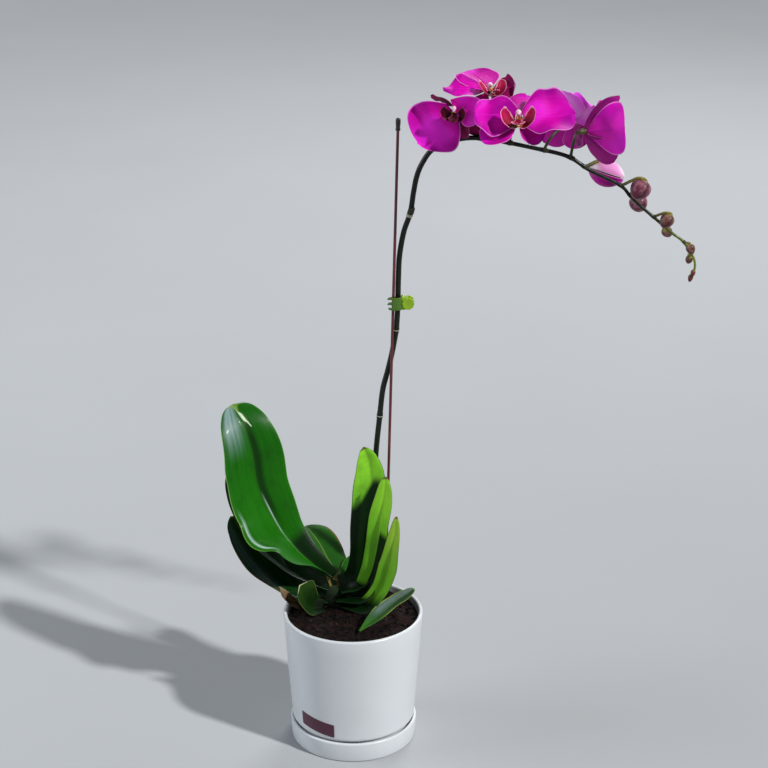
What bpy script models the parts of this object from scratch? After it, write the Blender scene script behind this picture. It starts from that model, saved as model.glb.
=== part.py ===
"""Moth orchid in a white glazed pot on its saucer, with a stake and a spring clip.

Metres, +Z up. The origin is the centre of the saucer's flat underside. The arching
spike reaches towards +X and -Y is the side that the flowers face. Plan positions of
the plant are given in millimetres and converted once, where a shape is built.
"""

import math
from dataclasses import dataclass

import bmesh
import bpy
import numpy as np
from mathutils import Matrix, Vector

MM = 0.001
CLEARANCE = 0.35 * MM          # gap kept between neighbouring solids

# Pot and saucer
POT_RIM_RADIUS = 70.0 * MM
POT_HEIGHT = 138.0 * MM
POT_WALL = 4.0 * MM
POT_HEEL_RADIUS = 62.0 * MM    # where the straight wall turns in
POT_HEEL_HEIGHT = 27.0 * MM
POT_FOOT_RADIUS = 57.5 * MM    # the narrow foot that stands in the saucer
DRAIN_RADIUS = 6.0 * MM
SAUCER_RADIUS = 64.0 * MM
SAUCER_BASE_RADIUS = 59.5 * MM
SAUCER_HEIGHT = 21.0 * MM
SAUCER_FLOOR = 5.0 * MM
SAUCER_WALL = 3.6 * MM
ROUND_SEGMENTS = 48

# Growing medium
MEDIUM_TOP = 132.6 * MM
MEDIUM_ROUGHNESS = 0.8 * MM

# Crown: the short stem that carries the leaves
CROWN_CENTRE = (-18.0, 26.0)
CROWN_RADIUS = 7.8
CROWN_BOTTOM = 122.0
CROWN_TOP = 156.0

# Support
STAKE_RADIUS = 1.4 * MM
STAKE_CAP_RADIUS = 2.4 * MM
STAKE_BOTTOM = (30.7, 44.0, 60.0)
STAKE_TOP = (44.1, 30.3, 620.0)
STAKE_CAP_LENGTH = 12.0 * MM

CLIP_HINGE = (49.8, 35.8)
CLIP_HEIGHT = 450.2
CLIP_PIN_RADIUS = 0.9
CLIP_KNUCKLE_RADIUS = 2.0
CLIP_JAW_THICKNESS = 1.3
CLIP_PRONG_HEIGHT = 2.4
CLIP_PRONG_SPACING = 5.2
CLIP_TAB_RADIUS = 6.0
CLIP_TAB_OFFSET = 4.6         # from the hinge to a thumb tab's middle
CLIP_TAB_FLUTES = 10

LEAF_THICKNESS = 2.0 * MM
TEPAL_THICKNESS = 0.9 * MM

# Colours and finish of the solids: base colour, roughness
FINISHES = {
    "white_glaze": ((0.86, 0.87, 0.88), 0.22),
    "peat": ((0.035, 0.018, 0.012), 0.95),
    "leaf_green": ((0.03, 0.16, 0.02), 0.35),
    "young_leaf_green": ((0.14, 0.38, 0.03), 0.4),
    "dry_sheath": ((0.22, 0.15, 0.08), 0.8),
    "stem_green": ((0.02, 0.035, 0.015), 0.45),
    "magenta_petal": ((0.62, 0.01, 0.55), 0.5),
    "crimson_lip": ((0.35, 0.005, 0.06), 0.4),
    "bud_purple": ((0.28, 0.06, 0.16), 0.5),
    "maroon_wire": ((0.11, 0.015, 0.02), 0.4),
    "black_cap": ((0.015, 0.015, 0.015), 0.5),
    "lime_plastic": ((0.23, 0.42, 0.02), 0.35),
    "steel": ((0.6, 0.6, 0.6), 0.3),
}
METALS = {"steel"}


@dataclass(frozen=True)
class Leaf:
    """A strap leaf: its midrib in millimetres, and the way its upper face looks along it."""

    name: str
    midrib: tuple
    face: tuple
    half_width: float
    fold: tuple
    widest: float = 0.6
    base: float = 0.4
    tip: float = 2.4
    curl: float = 0.1
    finish: str = "leaf_green"


@dataclass(frozen=True)
class Tepal:
    """A petal or sepal: clock angle seen from the front, forward lean, roll about its own
    length, length and width in millimetres, and how much further it leans by its tip."""

    clock: float
    lean: float
    turn: float
    length: float
    width: float
    bend: float


@dataclass(frozen=True)
class Flower:
    """One open flower: its centre in millimetres, the way it faces and its five tepals."""

    name: str
    centre: tuple
    azimuth: float
    elevation: float
    roll: float
    dorsal_sepal: Tepal
    left_sepal: Tepal
    right_sepal: Tepal
    left_petal: Tepal
    right_petal: Tepal
    lip_length: float = 16.0


LEAVES = (
    Leaf("leaf_left_tall",
         ((-26, 30, 151), (-40, 37, 160), (-56, 45, 177), (-73, 50, 198), (-88, 53, 224),
          (-97, 54, 251), (-101, 54, 283), (-107, 58, 306), (-114, 66, 322), (-121, 76, 329)),
         ((0.1, -0.25, 1), (0.45, -0.5, 0.7), (0.5, -0.85, 0.15), (0.45, -0.9, 0.12),
          (0.3, -0.8, 0.5)),
         34, (30, 32, 26, 20, 12), widest=0.62, base=0.2, tip=2.1, curl=0.12),
    Leaf("leaf_left_middle",
         ((-26.3, 29, 143), (-42, 39, 148), (-60, 50, 157), (-80, 60, 174), (-98, 66, 198),
          (-112, 70, 228), (-122, 72, 255), (-128, 74, 270)),
         ((0.1, -0.2, 1), (0.5, -0.4, 0.8), (0.65, -0.6, 0.4), (0.65, -0.7, 0.25)),
         29, (28, 28, 24, 20), base=0.2, tip=2.6),
    Leaf("leaf_left_low",
         ((-26.8, 27, 135.6), (-43, 29, 137.5), (-62, 37, 143.5), (-84, 45, 159), (-104, 51, 178.5),
          (-119, 55, 201), (-125, 57, 214)),
         ((0.1, -0.3, 1), (0.5, -0.4, 0.8), (0.6, -0.6, 0.5), (0.65, -0.65, 0.4)),
         23, (18, 16, 14), widest=0.55, base=0.28),
    Leaf("leaf_back_left",
         ((-18.6, 35, 154.6), (-20, 50.5, 157.5), (-27, 65, 163), (-36, 78, 174.5), (-45, 89, 182),
          (-50, 97, 185)),
         ((0.3, -0.8, 0.6), (0.2, -0.8, 0.7), (0.1, -0.5, 0.9)),
         20, (20, 14, 8), base=0.2, tip=2.6),
    Leaf("leaf_back_right",
         ((-14.3, 34.4, 138.8), (-3, 41.5, 145), (4, 50, 159), (9, 56, 171)),
         ((-0.1, -0.8, 0.6), (-0.1, -0.8, 0.7)),
         11.5, (20, 14), widest=0.5, base=0.35, tip=2.6),
    Leaf("leaf_right_tall",
         ((-8, 24.9, 146.9), (-1, 26, 149.6), (7, 28, 161), (12, 29, 184), (14, 28, 215),
          (17, 28, 246), (18, 28, 273), (16, 29, 292), (12, 31, 302)),
         ((-0.1, -0.4, 1), (-0.35, -0.7, 0.6), (-0.35, -0.95, 0.05), (-0.3, -0.95, 0.05),
          (-0.3, -0.9, 0.2)),
         19.5, (20, 30, 28, 24, 20), widest=0.72, base=0.3, tip=2.3, curl=0.04,
         finish="young_leaf_green"),
    Leaf("leaf_right_middle",
         ((-9.2, 23, 140.6), (3, 18, 143.4), (14, 13, 151), (21, 12, 171), (25, 12, 196),
          (28, 10, 230), (32, 9, 256), (33, 9, 279)),
         ((-0.2, -0.4, 0.9), (-0.6, -0.75, 0.4), (-0.5, -0.85, 0.05), (-0.4, -0.9, 0.1)),
         12.5, (30, 35, 28, 22), widest=0.72, base=0.35, tip=2.2, curl=0.05,
         finish="young_leaf_green"),
    Leaf("leaf_right_low",
         ((-11.6, 20, 134.9), (2, 10, 137), (14, 1.5, 142), (27, -3, 162), (36, -6, 190),
          (40, -8, 213), (43, -8, 230), (44, -8, 244)),
         ((-0.2, -0.4, 0.9), (-0.6, -0.7, 0.4), (-0.5, -0.85, 0.15), (-0.4, -0.9, 0.1)),
         11.5, (30, 35, 28, 22), widest=0.66, base=0.3, tip=1.8, curl=0.05,
         finish="young_leaf_green"),
    Leaf("leaf_front_small",
         ((7, -42, 137), (23, -24, 140), (42, 0, 145), (55, 8, 151), (62, 12, 155)),
         ((-0.35, -0.5, 0.8), (-0.35, -0.55, 0.8), (-0.3, -0.6, 0.8)),
         10, (30, 30, 26), widest=0.5, base=0.2, tip=1.8, curl=0.0),
    Leaf("cut_leaf_stub",
         ((-22, 17, 137), (-29, 7, 142), (-39, 0, 153), (-49, -4, 165)),
         ((0.3, -0.6, 0.8), (0.5, -0.6, 0.6)),
         9.0, (28, 24), widest=0.9, base=0.6, tip=9.0, curl=0.0),
    Leaf("dried_sheath",
         ((-37, 8, 137), (-51, 2, 145), (-60, -1, 155), (-66, -3, 166)),
         ((0.5, -0.6, 0.6), (0.6, -0.6, 0.5)),
         4.5, (20, 16), widest=0.4, base=0.6, tip=1.6, curl=0.0, finish="dry_sheath"),
)

FLOWERS = (
    Flower("flower_1", (96, 4, 647), -15, -12, 0,
           dorsal_sepal=Tepal(-74, -18, 35, 25, 14, -6),
           left_sepal=Tepal(178, -4, -24, 30, 22, -2),
           right_sepal=Tepal(127, -10, -16, 30, 19, 4),
           left_petal=Tepal(226, 7, -3, 45, 48, 6),
           right_petal=Tepal(97, -4, 24, 44, 40, 4)),
    Flower("flower_2", (128, 14, 661), 22, 50, 0,
           dorsal_sepal=Tepal(10, -20, -1, 31, 32, -3),
           left_sepal=Tepal(226, -34, -6, 24, 18, -10),
           right_sepal=Tepal(140, -34, 6, 22, 18, -10),
           left_petal=Tepal(301, -10, -5, 46, 35, -14),
           right_petal=Tepal(101, 32, -9, 26, 22, 26),
           lip_length=11.0),
    Flower("flower_3", (152, -26, 645), -8, 34, -3,
           dorsal_sepal=Tepal(5, -37, 0, 33, 24, 4),
           left_sepal=Tepal(223, -4, -22, 34, 22, 8),
           right_sepal=Tepal(147, -4, 16, 30, 26, 16),
           left_petal=Tepal(271, -7, -18, 38, 44, 14),
           right_petal=Tepal(76, 1, 24, 46, 52, -3)),
    Flower("flower_4", (202, 34, 630.5), 140, 18, 0,
           dorsal_sepal=Tepal(0, -12, -4, 33, 24, -6),
           left_sepal=Tepal(188, -12, 14, 33, 22, 0),
           right_sepal=Tepal(127, -12, 10, 36, 22, 0),
           left_petal=Tepal(296, -20, 14, 31, 34, -6),
           right_petal=Tepal(70, 0, 0, 40, 38, 0)),
    Flower("flower_5", (213.7, -14, 630), 112, 8, 0,
           dorsal_sepal=Tepal(-15, 30, -2, 37, 17, 38),
           left_sepal=Tepal(182, 17, 18, 34, 28, 14),
           right_sepal=Tepal(114, 4, -6, 34, 22, 8),
           left_petal=Tepal(272, 25, 12, 45, 40, -8),
           right_petal=Tepal(72, 50, -8, 38, 36, 4)),
)

# The spike's centre line from the crown to its tip, and its radius where it changes
SPIKE_ROUTE = (
    (-12.7, 33.7, 150), (-5, 39, 153.5), (9, 43, 166), (18, 46, 193), (21, 46, 237), (23, 45, 287), (27, 43, 330),
    (30, 41.8, 358), (34.6, 41.8, 377), (38.5, 42, 394), (41.4, 41.2, 410), (43.2, 39.8, 423),
    (44.2, 38.2, 440), (44.6, 37.6, 454), (45, 37, 475), (46, 36, 497), (50, 35, 521),
    (56, 33.5, 540), (59, 31, 561), (62, 29, 577), (67, 27, 590), (75.5, 25, 602.5),
    (89.5, 21, 611), (106, 18, 615.5), (122.5, 16, 616), (138, 14, 614), (168.5, 12, 608),
    (200, 10, 600.5), (221, 8, 588), (249, 5, 574.5), (258.5, 4, 565), (269, 3, 555),
    (281, 2, 545), (290.5, 1.5, 537), (300, 1, 529), (309.5, 0, 522), (319, 0, 508.5),
    (322, 0, 500), (321.5, 0, 493), (320, 0, 489),
)
SPIKE_RADII = (3.0, 2.9, 2.8, 2.75, 2.7, 2.6, 2.3, 1.9, 1.5, 1.1)

# Where each flower stalk leaves the spike, and a point that it bends through
FLOWER_STALKS = {
    "flower_1": ((91, 21, 611.5), (93, 23, 630)),
    "flower_2": ((119, 16.5, 616), (121, 30, 640)),
    "flower_3": ((146, 13.5, 612.5), (150, 6, 628)),
    "flower_4": ((178, 11.5, 605.5), (186, 16, 618)),
    "flower_5": ((203, 9.8, 599.5), (205, 2, 618)),
}
STALK_RADIUS = 1.3
HUB_RADIUS = 2.8

# Buds: name, centre, length, width, the way its tip points, and its stalk's foot
BUDS = (
    ("bud_1", (237.5, 22.5, 581.5), 35, 25, (0.85, 0.1, -0.3), (216.5, 8.5, 590.8)),
    ("bud_2", (265.6, -11.5, 574.5), 19.5, 19, (-0.25, -0.2, -0.93), (250, 4.9, 573.8)),
    ("bud_3", (268.5, 14.5, 554.5), 18, 17, (0.35, 0.35, -0.85), (257, 4, 566.5)),
    ("bud_4", (293, -8.5, 545), 13.5, 11.5, (-0.25, -0.2, -0.93), (283, 1.9, 543.3)),
    ("bud_5", (296, 10, 528), 11.5, 10, (0.6, 0.3, -0.7), (290.5, 1.5, 537)),
    ("bud_6", (316, -7, 516.5), 10.5, 8.5, (0.3, -0.1, -0.9), (310, 0, 521.3)),
    ("bud_7", (317.5, 7.5, 502), 9.5, 7, (-0.1, 0.4, -0.85), (319, 0, 508.5)),
)
SPIKE_TIP_BUD = ((319.2, 0, 487), 3.2, 7.5)


# ---------------------------------------------------------------- materials and helpers

def finish(name):
    """Return the material called name, making it the first time."""
    material = bpy.data.materials.get(name)
    if material:
        return material
    colour, roughness = FINISHES[name]
    material = bpy.data.materials.new(name)
    material.use_nodes = True
    shader = material.node_tree.nodes["Principled BSDF"]
    shader.inputs["Base Color"].default_value = (*colour, 1.0)
    shader.inputs["Roughness"].default_value = roughness
    shader.inputs["Metallic"].default_value = 1.0 if name in METALS else 0.0
    material.diffuse_color = (*colour, 1.0)
    return material


def add_object(name, vertices, faces, finish_name):
    """Add a mesh object whose faces point out, shaded smooth with sharp corners kept."""
    mesh = bpy.data.meshes.new(name)
    mesh.from_pydata([tuple(map(float, vertex)) for vertex in vertices], [], faces)
    work = bmesh.new()
    work.from_mesh(mesh)
    bmesh.ops.recalc_face_normals(work, faces=work.faces)
    work.to_mesh(mesh)
    work.free()
    mesh.shade_smooth()
    mesh.set_sharp_from_angle(angle=math.radians(40))
    item = bpy.data.objects.new(name, mesh)
    bpy.context.scene.collection.objects.link(item)
    mesh.materials.append(finish(finish_name))
    return item


def helper(item):
    """Mark an object as a Boolean operand that isn't a part of its own."""
    item.hide_render = True
    item.display_type = "WIRE"
    return item


def set_origin(item, point):
    """Put an object's origin at a point without moving its shape."""
    item.data.transform(Matrix.Translation(-Vector(point)))
    item.location = point


def boolean(item, other, operation):
    """Join or cut item with other."""
    modifier = item.modifiers.new(operation.lower(), "BOOLEAN")
    modifier.operation = operation
    modifier.solver = "EXACT"
    modifier.object = helper(other)


def unit(vectors):
    """Scale vectors to length one along their last axis."""
    vectors = np.asarray(vectors, float)
    return vectors / np.maximum(np.linalg.norm(vectors, axis=-1, keepdims=True), 1e-12)


def smooth_path(points, fractions):
    """Points at the given fractions of a Catmull-Rom curve through points."""
    knots = np.asarray(points, float)
    padded = np.vstack([2 * knots[0] - knots[1], knots, 2 * knots[-1] - knots[-2]])
    steps = np.linalg.norm(np.diff(knots, axis=0), axis=1)
    reach = np.r_[0.0, np.cumsum(steps)] / steps.sum()
    index = np.clip(np.searchsorted(reach, fractions, side="right") - 1, 0, len(knots) - 2)
    u = ((fractions - reach[index]) / (reach[index + 1] - reach[index]))[:, None]
    a, b, c, d = (padded[index + offset] for offset in range(4))
    return 0.5 * (2 * b + (c - a) * u + (2 * a - 5 * b + 4 * c - d) * u * u
                  + (3 * b - a - 3 * c + d) * u ** 3)


def blend(values, fractions):
    """Ease between evenly spaced values, which may be numbers or vectors."""
    values = np.asarray(values, float)
    place = np.clip(fractions, 0, 1) * (len(values) - 1)
    index = np.clip(place.astype(int), 0, len(values) - 2)
    u = place - index
    u = u * u * (3 - 2 * u)
    if values.ndim == 2:
        u = u[:, None]
    return values[index] * (1 - u) + values[index + 1] * u


def outline_width(fractions, base, widest, tip):
    """Half width of a leaf or tepal as a share of its largest, from base to rounded tip."""
    rise = np.sin(math.pi / 2 * np.clip(fractions / widest, 0, 1))
    fall = np.sqrt(1 - np.clip((fractions - widest) / (1 - widest), 0, 1) ** tip)
    return (base + (1 - base) * rise) * np.maximum(fall, 0.1)


def grid_faces(rows, columns):
    """Quads of a rows by columns grid of vertices."""
    return [(i * columns + j, (i + 1) * columns + j, (i + 1) * columns + j + 1,
             i * columns + j + 1)
            for i in range(rows - 1) for j in range(columns - 1)]


def sheet(name, surface, thickness, finish_name):
    """A closed plate of even thickness about a rows by columns grid of points in millimetres."""
    rows, columns = surface.shape[:2]
    item = add_object(name, surface.reshape(-1, 3) * MM, grid_faces(rows, columns), finish_name)
    modifier = item.modifiers.new("thickness", "SOLIDIFY")
    modifier.thickness = thickness
    modifier.offset = 0.0
    return item


def tube_mesh(centres, radii, sides):
    """Vertices and faces of a closed tube along centres, with a radius at each of them."""
    centres = np.asarray(centres, float)
    tangents = unit(np.gradient(centres, axis=0))
    across = unit(np.cross(tangents[0], (0.31, -0.9, 0.2)))
    turns = np.linspace(0, 2 * math.pi, sides, endpoint=False)
    rings = []
    for centre, tangent, radius in zip(centres, tangents, radii):
        across = unit(across - np.dot(across, tangent) * tangent)
        other = np.cross(tangent, across)
        rings.append(centre + radius * (np.cos(turns)[:, None] * across
                                        + np.sin(turns)[:, None] * other))
    faces = []
    for row in range(len(rings) - 1):
        for side in range(sides):
            after = (side + 1) % sides
            faces.append((row * sides + side, row * sides + after,
                          (row + 1) * sides + after, (row + 1) * sides + side))
    faces.append(tuple(range(sides)))
    faces.append(tuple((len(rings) - 1) * sides + side for side in range(sides)))
    return np.vstack(rings), faces


def tube(name, centres, radii, sides, finish_name):
    """A closed round bar along centres; centres and radii are in metres."""
    vertices, faces = tube_mesh(centres, radii, sides)
    return add_object(name, vertices, faces, finish_name)


def turned(name, profile, finish_name, centre=(0.0, 0.0), segments=ROUND_SEGMENTS):
    """Turn a profile of (radius, height) points about a vertical axis through centre.

    A profile that starts and ends on the axis closes there; any other is a closed loop.
    """
    on_axis = profile[0][0] == 0 and profile[-1][0] == 0
    turns = np.linspace(0, 2 * math.pi, segments, endpoint=False)
    rings = profile[1:-1] if on_axis else profile
    vertices = [(centre[0] + r * math.cos(a), centre[1] + r * math.sin(a), z)
                for r, z in rings for a in turns]
    faces = []
    for row in range(len(rings) if not on_axis else len(rings) - 1):
        upper = (row + 1) % len(rings)
        for side in range(segments):
            after = (side + 1) % segments
            faces.append((row * segments + side, row * segments + after,
                          upper * segments + after, upper * segments + side))
    if on_axis:
        first = len(vertices)
        vertices += [(*centre, profile[0][1]), (*centre, profile[-1][1])]
        last_ring = (len(rings) - 1) * segments
        for side in range(segments):
            after = (side + 1) % segments
            faces.append((first, side, after))
            faces.append((first + 1, last_ring + after, last_ring + side))
    return add_object(name, vertices, faces, finish_name)


def arc(centre, radius, start, end, steps):
    """Points (radius, height) of an arc from start to end, in degrees from +radius."""
    angles = np.radians(np.linspace(start, end, steps))
    return [(centre[0] + radius * math.cos(a), centre[1] + radius * math.sin(a))
            for a in angles]


# ---------------------------------------------------------------- pot, saucer and medium

def inner_wall_radius(height):
    """Radius of the pot's inner face at a height above the floor's corner."""
    low, high = 12 * MM, POT_HEIGHT
    share = (height - low) / (high - low)
    bottom = POT_FOOT_RADIUS - POT_WALL
    return bottom + (POT_RIM_RADIUS - POT_WALL - bottom) * share


def build_saucer():
    """A shallow dish with a rounded lip and a flat underside."""
    lip = SAUCER_WALL / 2
    lip_centre = (SAUCER_RADIUS - lip, SAUCER_HEIGHT - lip)
    profile = [(0.0, 0.0), (SAUCER_BASE_RADIUS, 0.0), (SAUCER_BASE_RADIUS + 1.6 * MM, 1.0 * MM),
               (SAUCER_BASE_RADIUS + 2.4 * MM, 3.0 * MM)]
    profile += arc(lip_centre, lip, 0, 180, 5)
    profile += [(SAUCER_RADIUS - SAUCER_WALL - 1.3 * MM, SAUCER_FLOOR + 3.0 * MM),
                (SAUCER_RADIUS - SAUCER_WALL - 3.5 * MM, SAUCER_FLOOR), (0.0, SAUCER_FLOOR)]
    turned("saucer", profile, "white_glaze")


def build_pot():
    """A tapered cylinder with a rounded rim, a turned-in heel, a narrow foot and a drain."""
    rim = POT_WALL / 2
    foot_z = SAUCER_FLOOR + CLEARANCE
    floor_z = foot_z + POT_WALL
    heel = 4.0 * MM
    profile = [(DRAIN_RADIUS, foot_z), (POT_FOOT_RADIUS - 2.0 * MM, foot_z),
               (POT_FOOT_RADIUS, foot_z + 2.0 * MM),
               (POT_FOOT_RADIUS, POT_HEEL_HEIGHT - heel - 1.0 * MM)]
    profile += arc((POT_HEEL_RADIUS - heel, POT_HEEL_HEIGHT), heel, -70, 0, 4)
    profile += arc((POT_RIM_RADIUS - rim, POT_HEIGHT - rim), rim, 0, 180, 5)
    profile += [(inner_wall_radius(POT_HEEL_HEIGHT), POT_HEEL_HEIGHT),
                (inner_wall_radius(floor_z + 3 * MM), floor_z + 3 * MM),
                (POT_FOOT_RADIUS - POT_WALL - 3.0 * MM, floor_z), (DRAIN_RADIUS, floor_z)]
    turned("pot", profile, "white_glaze")


def medium_height(x, y):
    """Height of the uneven top of the growing medium, in metres."""
    u, v = x / MM, y / MM
    bumps = math.sin(0.21 * u + 1.3) * math.cos(0.17 * v) + 0.6 * math.sin(0.37 * v - 0.29 * u)
    return MEDIUM_TOP + MEDIUM_ROUGHNESS * bumps * 0.5


def build_medium(crown_hole, stake_hole):
    """The peat that fills the pot to just under its rim, with holes for stem and stake."""
    floor_z = SAUCER_FLOOR + 2 * CLEARANCE + POT_WALL
    rows = [(POT_FOOT_RADIUS - POT_WALL - 4.0 * MM, floor_z),
            (inner_wall_radius(floor_z + 4 * MM) - 2 * CLEARANCE, floor_z + 4 * MM),
            (inner_wall_radius(MEDIUM_TOP) - 2 * CLEARANCE, MEDIUM_TOP - 1.5 * MM)]
    top = [(inner_wall_radius(MEDIUM_TOP) - 2 * CLEARANCE - 0.5 * MM, MEDIUM_TOP),
           (52 * MM, MEDIUM_TOP), (36 * MM, MEDIUM_TOP), (18 * MM, MEDIUM_TOP)]
    profile = [(0.0, floor_z)] + rows + top + [(0.0, MEDIUM_TOP)]
    item = turned("growing_medium", profile, "peat")
    for vertex in item.data.vertices:
        if vertex.co.z > MEDIUM_TOP - 0.5 * MM:
            vertex.co.z = medium_height(vertex.co.x, vertex.co.y)
    boolean(item, crown_hole, "DIFFERENCE")
    boolean(item, stake_hole, "DIFFERENCE")


# ---------------------------------------------------------------- crown and leaves

def crown_profile(extra, bottom, top):
    """Profile of the crown, widened by extra, between two heights; all in metres."""
    radius = CROWN_RADIUS * MM + extra
    return [(0.0, bottom), (radius * 0.8, bottom), (radius, bottom + 3 * MM),
            (radius, top - 4 * MM), (radius * 0.6, top), (0.0, top)]


def build_crown():
    """The short upright stem, and the hole that it stands in."""
    centre = tuple(value * MM for value in CROWN_CENTRE)
    turned("crown", crown_profile(0.0, CROWN_BOTTOM * MM, CROWN_TOP * MM), "leaf_green",
           centre, 16)
    return turned("crown_hole", crown_profile(CLEARANCE, CROWN_BOTTOM * MM - CLEARANCE,
                                              CROWN_TOP * MM), "peat", centre, 16)


def leaf_surface(leaf, rows=14, columns=6):
    """Grid of points over a leaf's middle surface, in millimetres."""
    along = np.linspace(0, 1, rows)
    centre = smooth_path(leaf.midrib, along)
    tangent = unit(np.gradient(centre, axis=0))
    face = blend(leaf.face, along)
    face = unit(face - np.sum(face * tangent, axis=1, keepdims=True) * tangent)
    side = np.cross(tangent, face)
    half = leaf.half_width * outline_width(along, leaf.base, leaf.widest, leaf.tip)
    fold = np.radians(blend(leaf.fold, along))
    across = np.linspace(-1, 1, columns)
    softness = 0.12
    lift = np.sqrt(across ** 2 + softness ** 2) - softness
    sideways = half[:, None] * across * np.cos(fold)[:, None]
    upward = half[:, None] * (lift * np.sin(fold)[:, None] - leaf.curl * np.abs(across) ** 3)
    return (centre[:, None] + sideways[..., None] * side[:, None]
            + upward[..., None] * face[:, None])


def build_leaves():
    """Every leaf, the cut stub and the dried sheath, each its own plate."""
    for leaf in LEAVES:
        rows = 14 if leaf.half_width > 10 else 9
        sheet(leaf.name, leaf_surface(leaf, rows), LEAF_THICKNESS, leaf.finish)


# ---------------------------------------------------------------- flowers

def flower_axes(flower):
    """Right, up and forward axes of a flower, as seen by someone who looks at its face."""
    turn, tilt, roll = (math.radians(v) for v in (flower.azimuth, flower.elevation, flower.roll))
    forward = np.array([math.sin(turn) * math.cos(tilt), -math.cos(turn) * math.cos(tilt),
                        math.sin(tilt)])
    level = unit(np.cross((0, 0, 1), forward))
    upright = np.cross(forward, level)
    up = math.cos(roll) * upright + math.sin(roll) * level
    return np.cross(up, forward), up, forward


def tepal_surface(flower, tepal, setback, hub=3.6, base=0.13, widest=0.6, tip=2.2,
                  cup=0.08, rows=8, columns=6):
    """Grid of points over a petal's or sepal's middle surface, in millimetres."""
    right, up, forward = flower_axes(flower)
    clock = math.radians(tepal.clock)
    outward = math.cos(clock) * up + math.sin(clock) * right
    along = np.linspace(0, 1, rows)
    lean = np.radians(tepal.lean + tepal.bend * along)
    step = np.stack([np.cos(lean), np.sin(lean)], axis=1)
    reach = np.zeros((rows, 2))
    reach[1:] = np.cumsum((step[1:] + step[:-1]) / 2 * tepal.length / (rows - 1), axis=0)
    centre = (np.asarray(flower.centre, float) + (hub + reach[:, :1]) * outward
              + (reach[:, 1:] + setback) * forward)
    tangent = step[:, :1] * outward + step[:, 1:] * forward
    normal = -step[:, 1:] * outward + step[:, :1] * forward
    side = np.cross(tangent, normal)
    turn = np.radians(tepal.turn) * np.minimum(1, 0.3 + along)
    rolled_side = np.cos(turn)[:, None] * side + np.sin(turn)[:, None] * normal
    rolled_face = -np.sin(turn)[:, None] * side + np.cos(turn)[:, None] * normal
    half = tepal.width / 2 * outline_width(along, base, widest, tip)
    across = np.linspace(-1, 1, columns)
    return (centre[:, None] + (half[:, None] * across)[..., None] * rolled_side[:, None]
            + (half[:, None] * cup * across ** 2)[..., None] * rolled_face[:, None])


def build_lip(flower):
    """The scooped lip with the column that it hangs from, as one solid."""
    right, up, forward = flower_axes(flower)
    scoop = Tepal(180, 58, 0, flower.lip_length, 15, -50)
    surface = tepal_surface(flower, scoop, 1.6, hub=1.6, base=0.35, widest=0.45, tip=1.8,
                            cup=0.55, rows=7)
    item = sheet(flower.name + "_lip", surface, TEPAL_THICKNESS, "crimson_lip")
    centre = np.asarray(flower.centre, float)
    column = centre + np.array([[t * f for t in forward] for f in (0.9, 3.0, 6.0, 8.6)])
    column += np.array([[t * rise for t in up] for rise in (0.2, 0.6, 0.8, 0.0)])
    rod = tube(flower.name + "_column", column * MM, np.array([2.0, 2.3, 2.3, 1.5]) * MM, 8,
               "crimson_lip")
    boolean(item, rod, "UNION")


def build_flowers():
    """Five open flowers: three sepals behind, two petals in front, and the lip."""
    for flower in FLOWERS:
        for part, setback in (("dorsal_sepal", -1.2), ("left_sepal", -1.2),
                              ("right_sepal", -1.2), ("left_petal", 0.8),
                              ("right_petal", 0.8)):
            surface = tepal_surface(flower, getattr(flower, part), setback)
            sheet(f"{flower.name}_{part}", surface, TEPAL_THICKNESS, "magenta_petal")
        build_lip(flower)


def bud_solid(name, centre, length, width, direction):
    """An egg-shaped bud whose narrow end points along direction, in millimetres."""
    stations = np.array([0.03, 0.12, 0.3, 0.5, 0.7, 0.87, 0.97])
    widths = np.array([0.42, 0.78, 0.98, 1.0, 0.82, 0.5, 0.18])
    axis = unit(direction)
    centres = np.asarray(centre, float) + ((stations - 0.5) * length)[:, None] * axis
    return tube(name, centres * MM, widths * width / 2 * MM, 10, "bud_purple")


def build_buds():
    """Seven closed or opening buds towards the tip of the spike."""
    for name, centre, length, width, direction, _ in BUDS:
        bud_solid(name, centre, length, width, direction)


def build_spike():
    """The arching flower stem with its stalks and tip, joined into one solid."""
    fractions = np.linspace(0, 1, 64)
    centres = smooth_path(SPIKE_ROUTE, fractions)
    item = tube("flower_spike", centres * MM, blend(SPIKE_RADII, fractions) * MM, 8,
                "stem_green")
    for flower in FLOWERS:
        forward = flower_axes(flower)[2]
        hub = np.asarray(flower.centre, float)
        foot, middle = FLOWER_STALKS[flower.name]
        stations = np.linspace(0, 1, 9)
        route = smooth_path((foot, middle, hub - 9 * forward, hub - 2.6 * forward), stations)
        radii = np.interp(stations, (0, 0.75, 1), (STALK_RADIUS, STALK_RADIUS, HUB_RADIUS))
        boolean(item, tube(flower.name + "_stalk", route * MM, radii * MM, 6, "stem_green"),
                "UNION")
    for name, centre, length, width, direction, foot in BUDS:
        base = np.asarray(centre, float) - unit(direction) * (length / 2 + 0.1)
        away = base - unit(direction) * (2.0 + 0.12 * width)
        route = smooth_path((foot, away, base), np.linspace(0, 1, 6))
        radius = 0.9 + 0.02 * width
        boolean(item, tube(name + "_stalk", route * MM, np.full(6, radius * MM), 6,
                           "stem_green"), "UNION")
    centre, radius, length = SPIKE_TIP_BUD
    stations = np.array([-0.5, -0.2, 0.2, 0.5])
    tip = np.asarray(centre, float) + stations[:, None] * np.array([-0.1, 0, -1]) * length
    boolean(item, tube("spike_tip", tip * MM, np.array([0.6, 1.0, 0.9, 0.4]) * radius * MM, 8,
                       "stem_green"), "UNION")


# ---------------------------------------------------------------- stake and clip

def stake_point(height):
    """The stake's centre line at a height, in metres."""
    bottom, top = (np.asarray(end, float) * MM for end in (STAKE_BOTTOM, STAKE_TOP))
    return bottom + (top - bottom) * (height - bottom[2]) / (top[2] - bottom[2])


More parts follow.
